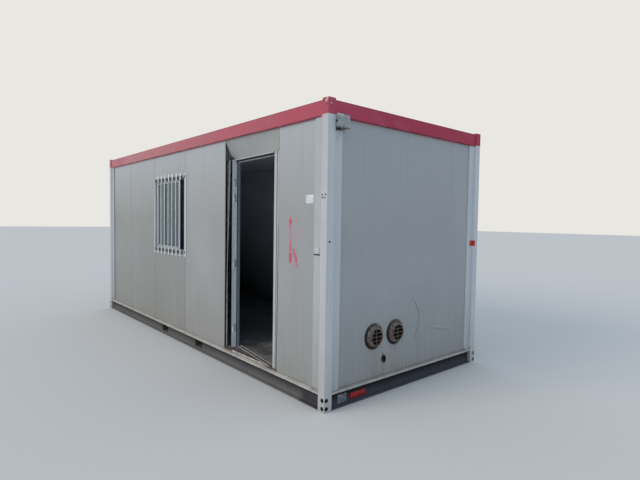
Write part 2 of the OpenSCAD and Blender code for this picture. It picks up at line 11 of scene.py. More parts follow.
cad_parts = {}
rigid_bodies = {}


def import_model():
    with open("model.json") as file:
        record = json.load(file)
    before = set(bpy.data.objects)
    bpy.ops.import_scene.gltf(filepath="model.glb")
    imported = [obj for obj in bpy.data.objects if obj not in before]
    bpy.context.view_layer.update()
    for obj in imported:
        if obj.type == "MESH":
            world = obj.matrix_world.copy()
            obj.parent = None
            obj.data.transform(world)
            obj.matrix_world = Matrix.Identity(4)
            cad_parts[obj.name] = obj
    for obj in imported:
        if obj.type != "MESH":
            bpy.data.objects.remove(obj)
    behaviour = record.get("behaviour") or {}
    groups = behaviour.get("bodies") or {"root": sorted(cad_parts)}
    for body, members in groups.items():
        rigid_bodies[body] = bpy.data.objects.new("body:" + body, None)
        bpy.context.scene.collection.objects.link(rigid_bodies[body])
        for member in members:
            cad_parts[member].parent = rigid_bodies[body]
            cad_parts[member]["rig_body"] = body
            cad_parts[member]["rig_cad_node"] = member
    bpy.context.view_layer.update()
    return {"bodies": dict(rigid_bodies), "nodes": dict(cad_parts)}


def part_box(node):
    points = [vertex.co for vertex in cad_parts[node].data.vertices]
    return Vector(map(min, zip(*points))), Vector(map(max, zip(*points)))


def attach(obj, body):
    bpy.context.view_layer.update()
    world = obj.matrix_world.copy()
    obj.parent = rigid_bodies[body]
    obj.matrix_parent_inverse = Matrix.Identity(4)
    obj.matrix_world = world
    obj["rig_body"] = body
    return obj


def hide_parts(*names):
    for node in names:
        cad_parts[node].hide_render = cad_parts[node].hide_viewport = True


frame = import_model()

nodes = frame["nodes"]
body = list(frame["bodies"])[0]

# The cabin's own planes, in metres, as in the CAD source
cabin = {
    "halfLength": 3.0275,
    "halfWidth": 1.2175,
    "frontSkin": -1.1835,   # outer face of the front panels
    "endSkin": 2.9935,      # outer face of the wall with the vents
    "toLining": 0.0935,     # from the outer box in to just behind the lining's face
    "floorTop": 0.19,
    "ledgeTop": 0.166,
    "doorEdge": (2.27, -1.1835, 0.0),  # the edge that the pushed-in door frame turned about
    "doorTurn": -4.0,       # degrees
}
frontY, endX, floorTop = cabin["frontSkin"], cabin["endSkin"], cabin["floorTop"]
footZ = cabin["ledgeTop"] + 0.006  # just over the ledge
ventCentres = [(-0.557, 0.575), (-0.243, 0.575)]  # y and z


def linear(hexCode):
    # sRGB hex to the linear colour that the nodes work in
    parts = [int(hexCode[i:i + 2], 16) / 255 for i in (1, 3, 5)]
    return tuple(p / 12.92 if p <= 0.04045 else ((p + 0.055) / 1.055) ** 2.4 for p in parts) + (1.0,)


def setInputs(tree, node, inputs):
    # a constant is set on its socket, another node's output is linked to it
    for socket, value in inputs.items():
        if isinstance(value, bpy.types.NodeSocket):
            tree.links.new(value, node.inputs[socket])
        else:
            node.inputs[socket].default_value = value


def addNode(tree, kind, inputs=None, out=0, **settings):
    # one node with its settings, values and links; gives back the output asked for. Inputs go by
    # name or number: a MapRange has its value, From Min, From Max, To Min and To Max as 0 to 4
    node = tree.nodes.new("ShaderNode" + kind)
    for setting, value in settings.items():
        setattr(node, setting, value)
    setInputs(tree, node, inputs or {})
    return node.outputs[out]


def newMaterial(name, values):
    # a Principled material, with one function that adds nodes to it and one that feeds its shader
    material = bpy.data.materials.new(name)
    material.use_nodes = True
    tree = material.node_tree
    feed = partial(setInputs, tree, tree.nodes["Principled BSDF"])
    feed(values)
    return material, partial(addNode, tree), feed


camera = {
    "place": (5.966, -3.831, 1.688),
    "azimuth": 49.161,  # degrees, all three
    "pitch": 2.463,
    "roll": 0.852,
    "lens": 25.792,     # mm, as is the sensor
    "sensor": 36.0,
    "clipEnd": 300.0,
}


def placeCamera():
    azimuth, pitch, roll = (radians(camera[k]) for k in ("azimuth", "pitch", "roll"))
    level = cos(pitch)
    back = Vector((sin(azimuth) * level, -cos(azimuth) * level, sin(pitch)))
    side = (-back).cross(Vector((0, 0, 1))).normalized()
    up = side.cross(-back)
    right = cos(roll) * side + sin(roll) * up
    top = -sin(roll) * side + cos(roll) * up
    bpy.ops.object.camera_add()
    eye = bpy.context.object
    eye.name = "photoCamera"
    eye.matrix_world = Matrix.Translation(camera["place"]) @ Matrix((right, top, back)).transposed().to_4x4()
    eye.data.sensor_width = camera["sensor"]
    eye.data.lens = camera["lens"]
    eye.data.clip_end = camera["clipEnd"]
    bpy.context.scene.camera = eye


studio = {
    "floorSize": 160.0,
    "floorColour": "#D6D5D2",
    "backColour": "#E9E7E2",
    "fillColour": "#DCEDFF",
    "fill": 0.75,
    "keyFrom": (-0.25, -0.85, 0.45),
    "keyColour": "#FFEEDD",
    "key": 1.25,
    "keySpread": 32,  # degrees, a wide soft source
}


def lightStudio():
    bpy.ops.mesh.primitive_plane_add(size=studio["floorSize"], location=(0, 0, 0))
    ground = bpy.context.object
    ground.name = "studioFloor"
    ground.data.materials.append(newMaterial("mattePaperFloor", {
        "Base Color": linear(studio["floorColour"]), "Roughness": 0.95, "Specular IOR Level": 0.2})[0])

    world = bpy.data.worlds.new("studioWorld")
    bpy.context.scene.world = world
    world.use_nodes = True
    tree = world.node_tree
    tree.nodes.clear()
    add = partial(addNode, tree)
    fill = add("Background", {"Color": linear(studio["fillColour"]), "Strength": studio["fill"]})
    seen = add("Background", {"Color": linear(studio["backColour"]), "Strength": 1.0})
    # the camera, and metal and glass, see the pale backdrop; everything else is lit by the fill
    shown = add("LightPath", out="Is Camera Ray")
    rays = shown.node.outputs
    for ray in ("Is Glossy Ray", "Is Transmission Ray"):
        shown = add("Math", {0: shown, 1: rays[ray]}, operation="MAXIMUM")
    mixed = add("MixShader", {0: shown, 1: fill, 2: seen})
    setInputs(tree, tree.nodes.new("ShaderNodeOutputWorld"), {"Surface": mixed})

    bpy.ops.object.light_add(type="SUN")
    key = bpy.context.object
    key.name = "softKey"
    key.rotation_euler = Vector(studio["keyFrom"]).to_track_quat("Z", "Y").to_euler()
    key.data.energy = studio["key"]
    key.data.color = linear(studio["keyColour"])[:3]
    key.data.angle = radians(studio["keySpread"])


bpy.context.scene.view_settings.view_transform = "Standard"
placeCamera()
lightStudio()
print("camera, floor and light in place")


def stroke(start, end, width, colour, strength, **more):
    # a mark along a line. More values: core, the share of its width that it covers fully; gapMm and
    # gaps, how ragged it is; dent, its relief; hollow, no shine; behind, the X that it lies deeper than
    return dict(line=(start, end), width=width, colour=colour, strength=strength, **more)


def ring(centre, radius, width, colour, strength, **more):
    # a mark round a line along X, given by its y and z
    return dict(ring=(centre, radius), width=width, colour=colour, strength=strength, **more)


def markMask(add, place, mark):
    # strongest on the line or ring, gone at the mark's width away
    if "ring" in mark:
        centre, radius = mark["ring"]
        flat = add("VectorMath", {0: place, 1: (0, 1, 1)}, operation="MULTIPLY")
        gap = add("VectorMath", {0: flat, 1: (0, *centre)}, "Value", operation="DISTANCE")
        gap = add("Math", {0: gap, 1: radius}, operation="SUBTRACT")
        gap = add("Math", {0: gap}, operation="ABSOLUTE")
    else:
        start, end = (Vector(point) for point in mark["line"])
        run = end - start
        offset = add("VectorMath", {0: place, 1: start}, operation="SUBTRACT")
        along = add("VectorMath", {0: offset, 1: run / run.length_squared}, "Value", operation="DOT_PRODUCT")
        along = add("Clamp", {"Value": along})
        nearest = add("VectorMath", {0: run, "Scale": along}, operation="SCALE")
        gap = add("VectorMath", {0: offset, 1: nearest}, "Value", operation="DISTANCE")
    full = mark["width"] * mark.get("core", 0.35)
    mask = add("MapRange", {0: gap, 1: mark["width"], 2: full, 4: mark["strength"]})
    if "behind" in mark:
        deep = add("SeparateXYZ", {0: place}, "X")
        deep = add("Math", {0: deep, 1: mark["behind"]}, operation="LESS_THAN")
        mask = add("Math", {0: mask, 1: deep}, operation="MULTIPLY")
    if mark.get("hollow"):
        return mask
    broken = add("TexNoise", {"Vector": place, "Scale": 1000 / mark.get("gapMm", 14), "Detail": 2})
    broken = add("MapRange", {0: broken, 1: mark.get("gaps", 0.3), 2: 0.62})
    return add("Math", {0: mask, 1: broken}, operation="MULTIPLY")


def doorPoint(x, y, z):
    # a point given in the door frame's own axes
    turned = Matrix.Rotation(radians(cabin["doorTurn"]), 3, "Z") @ Vector((x, y, z))
    return Vector(cabin["doorEdge"]) + turned


def roomMask(add, place):
    # 1 on the faces that look into the room, 0 outside
    apart = add("VectorMath", {0: place}, operation="ABSOLUTE")
    acrossX = add("SeparateXYZ", {0: apart}, "X")
    acrossY = acrossX.node.outputs["Y"]
    inX = add("Math", {0: acrossX, 1: cabin["halfLength"] - cabin["toLining"]}, operation="LESS_THAN")
    inY = add("Math", {0: acrossY, 1: cabin["halfWidth"] - cabin["toLining"]}, operation="LESS_THAN")
    return add("Math", {0: inX, 1: inY}, operation="MULTIPLY")


def makeCoat(name, look, marks=(), **changes):
    # every coat and skin on the cabin: the colour drifts in broad patches, rain has left upright
    # runs, a second colour gathers low down, and a fine grain breaks the shine
    look = dict(look, **changes)
    values = look.get("shader", {})
    material, add, feed = newMaterial(name, values)
    place = add("TexCoord", out="Object")
    broad = add("TexNoise", {"Vector": place, "Scale": 1000 / look["patchMm"], "Detail": 4})
    upright = add("Mapping", {"Vector": place, "Scale": (1, 1, look.get("runLength", 0.05))})
    runs = add("TexNoise", {"Vector": upright, "Scale": 1000 / look["runMm"], "Detail": 3})
    grain = add("TexNoise", {"Vector": place, "Scale": 1000 / look["grainMm"], "Detail": 3})
    # what lies over the first colour, from the lowest layer up: how much of it shows, and its colour
    layers = [(add("MapRange", {0: broad, 1: 0.38, 2: 0.62}), look["patch"])]
    if "fade" in look:
        # paler and paler towards one end; on the end faces of the posts and strips this is painted light
        along = add("VectorMath", {0: place, 1: look["fadeAlong"]}, "Value", operation="DOT_PRODUCT")
        faded = add("MapRange", {0: along, 1: look["fadeFrom"], 2: look["fadeTo"], 4: look["fadeAmount"]})
        layers.append((faded, look["fade"]))
    ran = add("MapRange", {0: runs, 1: 0.5, 2: 0.72, 4: look["runAmount"]})
    speck = add("MapRange", {0: grain, 1: 0.56, 2: 0.72, 4: look.get("speckAmount", 0.25)})
    layers += [(ran, look["run"]), (speck, look["speck"])]
    if "dust" in look:
        # a second colour towards the foot: dust on the posts, painted light low on the base rails, painted
        # shade under the power box
        height = add("SeparateXYZ", {0: place}, "Z")
        low = add("MapRange", {0: height, 1: look["dustTop"], 2: look["dustFoot"], 4: look["dustAmount"]})
        uneven = add("MapRange", {0: runs, 1: 0.3, 2: 0.6, 3: 0.7})
        layers.append((add("Math", {0: low, 1: uneven}, operation="MULTIPLY"), look["dust"]))
    if "wear" in look:
        # the coat is gone in small ragged places and what is under it shows
        worn = add("TexNoise", {"Vector": place, "Scale": 1000 / look["wearMm"], "Detail": 6,
                                "Roughness": 0.65})
        bare = look["wearFrom"] + 0.05
        worn = add("MapRange", {0: worn, 1: look["wearFrom"], 2: bare, 4: look["wearAmount"]})
        layers.append((worn, look["wear"]))
    creases = []
    shine = values.get("Specular IOR Level", 0.5)
    for mark in marks:
        mask = markMask(add, place, mark)
        layers.append((mask, mark["colour"]))
        if "dent" in mark:
            creases.append((mask, mark["dent"]))
        if mark.get("hollow"):
            closed = add("Math", {0: 1.0, 1: mask}, operation="SUBTRACT")
            shine = add("Math", {0: closed, 1: shine}, operation="MULTIPLY")
    colour = linear(look["colour"])
    for mask, shade in layers:
        colour = add("Mix", {0: mask, 6: colour, 7: linear(shade)}, 2, data_type="RGBA")
    if look.get("lining"):
        # the board on the room's side: painted shade, dark low down and at the far end, paler higher up
        shadedLow, litHigh = (linear(shade) for shade in look["lining"])
        board = add("VectorMath", {0: place, 1: (0.25, 0, 1)}, "Value", operation="DOT_PRODUCT")
        board = add("MapRange", {0: board, 1: -0.25, 2: 1.75})
        board = add("Mix", {0: board, 6: shadedLow, 7: litHigh}, 2, data_type="RGBA")
        colour = add("Mix", {0: roomMask(add, place), 6: colour, 7: board}, 2, data_type="RGBA")
    smooth, coarse = look["rough"]
    rough = add("MapRange", {0: runs, 1: 0.3, 2: 0.7, 3: smooth, 4: coarse})
    normal = add("Bump", {"Strength": 1.0, "Distance": look["dentDepth"], "Height": broad})
    normal = add("Bump", {"Strength": 0.6, "Distance": look["grainDepth"], "Height": grain, "Normal": normal})
    if "ribMm" in look:
        # shallow upright lines rolled into the sheet, the same along both sides
        cross = add("VectorMath", {0: place, 1: (1, 1, 0)}, "Value", operation="DOT_PRODUCT")
        wave = add("Math", {0: cross, 1: 2 * pi * 1000 / look["ribMm"]}, operation="MULTIPLY")
        creases.insert(0, (add("Math", {0: wave}, operation="SINE"), look["ribDepth"]))
    for mask, deep in creases:
        normal = add("Bump", {"Strength": 1.0, "Distance": deep, "Height": mask, "Normal": normal})
    feed({"Base Color": colour, "Specular IOR Level": shine, "Roughness": rough, "Normal": normal})
    return material


# Polyester coil coating on zinc-coated steel sheet, the skin of a foam panel: smooth, a little
# chalky with age, paler towards the top and greyer near the ground, with faint rolled lines
frontSkin = dict(
    colour="#9C9F9E", patch="#979A99", patchMm=700, dentDepth=0.003,
    run="#8E9191", runMm=42, runLength=0.03, runAmount=0.14,
    speck="#919493", speckAmount=0.16, grainMm=11, grainDepth=0.00012,
    dust="#7E7A70", dustFoot=0.1, dustTop=1.1, dustAmount=0.45,
    fade="#B2B7BB", fadeAlong=(-0.02, 0, 1), fadeFrom=1.72, fadeTo=2.7, fadeAmount=1.0,
    rough=(0.42, 0.52), ribMm=66, ribDepth=0.000015, lining=("#2E3238", "#EEF5FC"),
    shader={"Specular IOR Level": 0.3},
)
# a red line of marking paint with a knot at its head, smears at its foot and a fainter one beside it
sprayMarks = [
    stroke((2.467, frontY, 1.716), (2.474, frontY, 1.28), 0.023, "#D0607A", 0.72, gaps=0.1, core=0.2),
    stroke((2.43, frontY, 1.674), (2.56, frontY, 1.68), 0.01, "#CF6A7E", 0.4, gaps=0.2),
    stroke((2.468, frontY, 1.684), (2.469, frontY, 1.655), 0.024, "#C4304F", 0.95, gaps=0.0),
    stroke((2.472, frontY, 1.47), (2.474, frontY, 1.4), 0.026, "#CB4764", 0.8, gapMm=22, gaps=0.1),
    stroke((2.474, frontY, 1.355), (2.474, frontY, 1.305), 0.032, "#C22F50", 0.95, gaps=0.0),
    stroke((2.524, frontY, 1.398), (2.564, frontY, 1.315), 0.027, "#C83B5A", 0.9, gapMm=20, gaps=0.1),
    stroke((2.568, frontY, 1.3), (2.576, frontY, 1.258), 0.03, "#CC5A73", 0.85, gapMm=20, gaps=0.1),
    stroke((2.6, frontY, 1.61), (2.602, frontY, 1.52), 0.034, "#CC8C98", 0.55, gaps=0.2),
]
frontFoot = stroke((-2.95, frontY, footZ), (2.95, frontY, footZ), 0.012, "#6A675F", 0.5, gapMm=120,
                   gaps=0.1)
# painted shade, near black, in the open groove in the edge of the panel beside the doorway, and mid grey
# painted shade above it where the edge is less deep in shadow
openEdgeShade = stroke((1.195, -1.1525, 0.17), (1.195, -1.138, 2.35), 0.0315, "#050606", 1.0, core=0.95, hollow=True)
shadedEdge = stroke((1.195, -1.1525, 2.39), (1.195, -1.1525, 2.6), 0.0315, "#65686B", 1.0, core=0.95,
                    gaps=-1.0)
panelJoint = stroke((2.272, frontY, 1.0), (2.272, frontY, 2.6), 0.0055, "#4A4D4F", 0.75, core=0.7, gapMm=60,
                    gaps=0.1)
farCoat = makeCoat("coilCoatedFarSkin", frontSkin, [frontFoot], colour="#959896", patch="#909391")
edgeCoat = makeCoat("coilCoatedOpenEdgeSkin", frontSkin, [frontFoot, openEdgeShade, shadedEdge],
                         colour="#A2A5A4", patch="#9D9F9F")
markedCoat = makeCoat("coilCoatedMarkedSkin", frontSkin, [frontFoot, panelJoint] + sprayMarks,
                           colour="#A2A5A6", patch="#9DA0A1")
bentSkin = dict(frontSkin, lining=None, colour="#A0A3A2", patch="#989B99", dustAmount=0.0, fadeAmount=0.0,
                runAmount=0.45, runMm=60, run="#8C8F8E")
bentCoat = makeCoat("coilCoatedBentSkin", bentSkin)
sideStripCoat = makeCoat("coilCoatedDoorStrip", bentSkin, [
    # painted shade: dark in the gap beside the sound jamb, widening towards the ground, and near black on the
    # strip deep behind the lath
    stroke((2.2495, -1.177, 0.19), (2.266, -1.177, 1.65), 0.0085, "#303335", 0.95, core=0.6, hollow=True),
    stroke((1.228, -1.115, 0.19), (1.228, -1.115, 2.37), 0.08, "#060707", 1.0, core=0.9, hollow=True),
], colour="#B4B8BB", patch="#ACB0B3")

endSkin = dict(frontSkin, colour="#A8ABAD", patch="#A3A6A8", run="#92979A", runAmount=0.2, speck="#989C9E",
               dust="#8E8D8A", dustTop=1.1, dustAmount=0.8, fade="#A6ABAF", fadeAlong=(0, 0, 1))
scratch = {"colour": "#68707A", "gaps": 0.1, "dent": -0.004}
bends = [(0.052, 0.866), (0.116, 0.775), (0.152, 0.69), (0.118, 0.56), (0.096, 0.455)]  # y and z
endMarks = [
    # a wavy scratch, and one beside it
    *(stroke((endX, *start), (endX, *end), width, strength=0.9, **scratch)
      for start, end, width in zip(bends, bends[1:], (0.006, 0.006, 0.005, 0.006))),
    stroke((endX, 0.04, 0.905), (endX, -0.03, 0.8), 0.005, strength=0.6, **scratch),
    # a crease, with a painted highlight along its lip and painted shade below it
    stroke((endX, 0.4215, 0.545), (endX, 0.739, 0.475), 0.011, "#B4BCC4", 0.6, gaps=0.2, dent=-0.005),
    stroke((endX, 0.4, 0.52), (endX, 0.72, 0.455), 0.008, "#737A82", 0.7, gaps=0.2),
    # fine rust lines over the ledge
    stroke((endX, -0.05, 0.172), (endX, -0.052, 0.262), 0.005, "#6A6259", 0.7, gaps=0.0),
    stroke((endX, -0.116, 0.172), (endX, -0.115, 0.295), 0.005, "#777069", 0.6, gaps=0.1),
    # the pipe hole's soot, running up to a point, and a brown run below it
    stroke((endX, -0.404, 0.318), (endX, -0.409, 0.334), 0.042, "#050505", 1.0, core=0.6, hollow=True),
    stroke((endX, -0.409, 0.34), (endX, -0.424, 0.385), 0.01, "#34312D", 1.0, gaps=-0.2),
    stroke((endX, -0.411, 0.3), (endX, -0.412, 0.19), 0.05, "#85806F", 0.5, gapMm=40, core=0.1),
    # dirt along the ledge
    stroke((endX, -1.05, footZ), (endX, 1.05, footZ), 0.014, "#77777A", 0.7, gapMm=90, gaps=0.1),
]
for y, z in ventCentres:
    # a faint run, a dark halo of dirt and painted shadow, and a black line of painted shadow under the flange's
    # lower side
    endMarks += [
        stroke((endX, y, 0.46), (endX, y, 0.19), 0.12, "#84837D", 0.4, gapMm=60, core=0.1),
        ring((y, z), 0.121, 0.016, "#4A4746", 0.8, core=0.3, gaps=0.0),
        ring((y - 0.004, z - 0.003), 0.118, 0.008, "#0E0D0D", 1.0, core=0.6, gaps=-0.6)]
endCoat = makeCoat("coilCoatedEndSkin", endSkin, endMarks)
plainCoat = makeCoat("coilCoatedPlainSkin", endSkin)

# Folded steel with a sprayed alkyd top coat, near white: satin, with fine chips; paler on its end faces, which
# is painted light
postLook = dict(
    colour="#BDC3C6", patch="#B6BBBF", patchMm=500, dentDepth=0.0012,
    run="#A5AAAD", runMm=24, runLength=0.03, runAmount=0.2,
    speck="#AAAFB1", speckAmount=0.2, grainMm=7, grainDepth=0.00015,
    dust="#A19E95", dustFoot=0.0, dustTop=0.6, dustAmount=0.55,
    wear="#7A7670", wearMm=60, wearFrom=0.7, wearAmount=0.6,
    fade="#C5CACD", fadeAlong=(1, 0, 0), fadeFrom=3.022, fadeTo=3.027, fadeAmount=1.0,
    rough=(0.38, 0.5),
)
# painted light: the sides that face away from the sun are painted near white
paintedLightStep = {"colour": "#E6EBEE", "strength": 0.9, "gaps": -0.3, "core": 0.8}
postCoat = makeCoat("sprayedAlkydPost", postLook, [
    stroke((-2.9475, -1.2085, 0.2), (-2.9475, -1.2085, 2.6), 0.011, **paintedLightStep),
    stroke((3.0185, 1.1305, 0.2), (3.0185, 1.1305, 2.6), 0.01, **paintedLightStep)])
# painted shade, near black, inside the coupling holes of the foot blocks
shadedBlockHoles = [
    stroke((sx * outer[0], sy * outer[1], z), (sx * inner[0], sy * inner[1], z), 0.0205, "#080808", 1.0,
           core=0.9, hollow=True)
    for sx in (-1, 1) for sy in (-1, 1) for z in (0.034, 0.108)
    for outer, inner in (((3.0005, 1.2175), (3.0005, 1.18)), ((3.0275, 1.1905), (2.99, 1.1905)))]
footCoat = makeCoat("scuffedAlkydFoot", postLook, shadedBlockHoles, dust="#A3A19E", dustTop=0.3, dustAmount=0.8,
                         wearFrom=0.62)
# the strips beside the posts: paler on the end wall, which is painted light, with a stain under the power box
stripCoat = makeCoat("coatedCornerStrip", postLook, [
    stroke((3.01, -1.09, 2.47), (3.01, -1.09, 2.42), 0.05, "#7C7F78", 0.4, gapMm=40, core=0.1),
    stroke((3.0015, 1.0295, 0.2), (3.0015, 1.0295, 2.6), 0.0115, **paintedLightStep),
    stroke((2.95, -1.1995, 0.172), (2.8, -1.1995, 0.172), 0.02, "#6B675E", 0.8, gapMm=90, gaps=0.1),
], colour="#B2B8BA", patch="#ABB2B4", wearAmount=0.2, fade="#BFC5CA", fadeFrom=3.004, fadeTo=3.009,
    dust="#8E8B84", dustTop=0.9, dustAmount=0.7)

# Red alkyd on folded steel: paler and pinker towards the far end, with paler runs and dark chips
dull = {"Specular IOR Level": 0.25}
railLook = dict(
    colour="#B54A5C", patch="#AE5060", patchMm=420, dentDepth=0.0012,
    run="#BA727C", runMm=34, runLength=0.12, runAmount=0.3,
    speck="#9C3B4C", speckAmount=0.3, grainMm=8, grainDepth=0.0002,
    wear="#5A3A40", wearMm=40, wearFrom=0.71, wearAmount=0.7,
    fade="#BF8E8F", fadeAlong=(-1, 0, 0), fadeFrom=-2.95, fadeTo=3.0, fadeAmount=0.85,
    rough=(0.5, 0.65), shader=dull, lining=frontSkin["lining"],
)
# painted shade along the lower edges, and grime along the upper
underShadeLine = {"colour": "#4E222B", "width": 0.01, "strength": 0.85, "gapMm": 150, "gaps": 0.1, "core": 0.5}
topLine = dict(underShadeLine, colour="#7A3644", width=0.008, strength=0.6)
railCoat = makeCoat("redAlkydRail", railLook, [
    stroke((-2.9, -1.2075, 2.59), (2.9, -1.2075, 2.59), **underShadeLine),
    stroke((-2.9, -1.2075, 2.727), (2.9, -1.2075, 2.727), **topLine),
    # a white spot with a dark one beside it at the near coupling hole, and a bright chip with a dark edge above
    stroke((3.0275, -1.1835, 2.6865), (3.0275, -1.1805, 2.6845), 0.0095, "#E4E0DC", 1.0, gaps=-0.6,
           core=0.5),
    stroke((3.0275, -1.1985, 2.6825), (3.0275, -1.1965, 2.6825), 0.008, "#431722", 0.8, gaps=-0.6,
           core=0.4),
    stroke((3.014, -1.2175, 2.736), (2.999, -1.2175, 2.712), 0.016, "#D2D0CC", 1.0, gapMm=20, gaps=0.1),
    stroke((2.975, -1.2175, 2.722), (2.968, -1.2175, 2.712), 0.01, "#3E3034", 0.8, gapMm=20, gaps=0.1),
    # the end of the far head block deeper red, and the far end of the front rail less pale
    stroke((3.03, 1.175, 2.6), (3.03, 1.175, 2.72), 0.1, "#AC3350", 0.95, gaps=-0.5, core=0.8),
    stroke((-3.03, -1.2175, 2.66), (-2.33, -1.2175, 2.66), 0.14, "#AE5064", 0.6, gapMm=60, gaps=0.2,
           core=0.5)])
# the end rail: deeper red, paler towards its front corner, with pale scuffs near it
scuff = {"colour": "#B9738A", "strength": 0.35, "gapMm": 12, "gaps": 0.42, "core": 0.2}
endRailCoat = makeCoat("deepRedAlkydRail", railLook, [
    stroke((3.0175, -1.1, 2.59), (3.0175, 1.1, 2.59), **underShadeLine),
    stroke((3.0175, -1.1, 2.727), (3.0175, 1.1, 2.727), **topLine),
    stroke((3.0275, -0.62, 2.66), (3.0275, -0.5, 2.6), 0.07, **scuff),
    stroke((3.0275, -0.3, 2.66), (3.0275, -0.16, 2.61), 0.08, **scuff),
], colour="#B03351", patch="#AB3550", run="#B2526A", runAmount=0.25, speck="#97304A",
    fade="#BA4863", fadeAlong=(0, -1, 0), fadeFrom=0.3, fadeTo=1.1, fadeAmount=0.9)

# Anthracite alkyd on rolled channel: dull; painted shadow darkens it under the ledge and painted light greys it
# towards the ground
baseLook = dict(
    colour="#323438", patch="#3C3E42", patchMm=350, dentDepth=0.002,
    run="#53545A", runMm=26, runLength=0.15, runAmount=0.3,
    speck="#4E4E50", speckAmount=0.3, grainMm=7, grainDepth=0.0004,
    dust="#777475", dustFoot=0.01, dustTop=0.105, dustAmount=0.95,
    wear="#6B4B38", wearMm=70, wearFrom=0.7, wearAmount=0.6,
    rough=(0.55, 0.75), shader=dull,
)
baseCoat = makeCoat("anthraciteAlkydBase", baseLook, [
    # painted shadow under the ledge, the more so towards the near corner, and a darker patch low at that corner
    stroke((-2.95, -1.21, 0.124), (2.95, -1.21, 0.124), 0.032, "#101113", 0.7, gaps=-0.6, core=0.3),
    stroke((0.55, -1.21, 0.118), (2.95, -1.21, 0.118), 0.042, "#101113", 0.8, gaps=-0.6, core=0.3),
    stroke((2.72, -1.21, 0.04), (2.95, -1.21, 0.04), 0.1, "#2E2E31", 0.9, gapMm=60, gaps=-0.3)])
# a darker copy of the coat for the end, which stands in shade: painted shade, with painted shadow under the
# ledge
shadedEndBaseCoat = makeCoat("shadedAnthraciteEndBase", baseLook, [
    stroke((endX, -1.06, 0.122), (endX, 1.06, 0.122), 0.024, "#040506", 0.9, gaps=-0.6, core=0.2),
], colour="#0D0F14", patch="#12141A", run="#20232A", speck="#24272C", dust="#51565F", wearAmount=0.0)

# Pale coated ledge of folded sheet: weather side up, so dirt has dried on it
ledgeLook = dict(
    colour="#C3BEB6", patch="#ADAAA4", patchMm=160, dentDepth=0.002,
    run="#8E8B86", runMm=30, runLength=1.0, runAmount=0.5,
    speck="#7A7771", speckAmount=0.5, grainMm=8, grainDepth=0.0005,
    wear="#6A6056", wearMm=45, wearFrom=0.62, wearAmount=0.6,
    rough=(0.55, 0.75), shader=dull,
)
ledgeCoat = makeCoat("coatedSheetLedge", ledgeLook, [
    # dark butt joints between the ledge's lengths, and the dirt held on top of the end ledge
    stroke((2.47, -1.22, 0.14), (2.47, -1.18, 0.17), 0.006, "#3B3833", 1.0, gaps=0.0),
    stroke((3.03, -0.87, 0.14), (2.99, -0.87, 0.17), 0.006, "#3B3833", 1.0, gaps=0.0),
    stroke((3.004, -1.1, 0.166), (3.004, 1.1, 0.166), 0.012, "#7D7A73", 0.7, gapMm=110, gaps=0.0,
           core=0.7)])

# Hot-dip galvanised steel: dull spangled zinc, greyer where it has stood in the wet
zincLook = dict(
    colour="#9AA3A5", patch="#87908F", patchMm=60, dentDepth=0.0003,
    run="#7C8482", runMm=18, runLength=0.2, runAmount=0.5,
    speck="#AEB5B5", speckAmount=0.5, grainMm=11, grainDepth=0.00015,
    rough=(0.42, 0.6), shader={"Metallic": 0.55},
)
aged = {"Metallic": 0.1}  # under a dull skin of its own oxide
zincCoat = makeCoat("galvanisedSteel", zincLook)
barCoat = makeCoat("paleGalvanisedBar", zincLook, [
    # painted highlight: the hammered ends near white
    stroke((-0.9, -1.203, z), (0.2, -1.203, z), 0.06, "#F4F7F9", 0.95, core=0.8, gaps=-0.3)
    for z in (1.215, 2.257)], colour="#CBD2D5", patch="#BEC5C9", run="#A2A9AC", runAmount=0.3, shader=aged)
# near white: bright zinc, made whiter still as painted highlight
hingeCoat = makeCoat("brightZincHinge", zincLook, colour="#E3E8EB", patch="#D3D8DB", patchMm=30,
                          shader=aged)
# the grille's rails near black: grime and painted shade
grilleZinc = makeCoat("grimedShadedGrilleRail", zincLook, colour="#454B4E", patch="#3A3F42", run="#303435",
                           speck="#63696C", shader=aged)
roofZinc = makeCoat("galvanisedRoofSheet", zincLook, colour="#A2A8A8", patch="#8A8D89", patchMm=700,
                         dentDepth=0.003, run="#777567", runMm=90, runLength=1.0, runAmount=0.6)
# bright zinc-plated fasteners
fastenerCoat = makeCoat("zincPlatedFastener", zincLook, colour="#B4BABB", patch="#A3AAAB", patchMm=30,
                             grainMm=4, rough=(0.3, 0.45), shader={"Metallic": 0.8})
# thin aluminium sheet, dulled and dirty
bareSheet = makeCoat("dullAluminiumPlate", zincLook, colour="#868D94", patch="#474C52", patchMm=26,
                          run="#40454B", runAmount=0.7, shader={"Metallic": 0.2})

# Melamine-faced lining board: pale grey-blue with a low sheen
liningCoat = makeCoat("melamineLining", dict(
    colour="#F1F5F9", patch="#EAEFF4", patchMm=800, dentDepth=0.001,
    run="#D6DBE0", runMm=60, runAmount=0.15, speck="#B4B9BD", speckAmount=0.1,
    grainMm=6, grainDepth=0.0001, rough=(0.5, 0.6),
))

# Sheet vinyl on a floor board: scuffed and gritty
vinylLook = dict(
    colour="#4E5156", patch="#43464B", patchMm=260, dentDepth=0.0008,
    run="#5B5D60", runMm=120, runLength=1.0, runAmount=0.4, speck="#626163",
    speckAmount=0.6, grainMm=22, grainDepth=0.0004, rough=(0.6, 0.75),
)
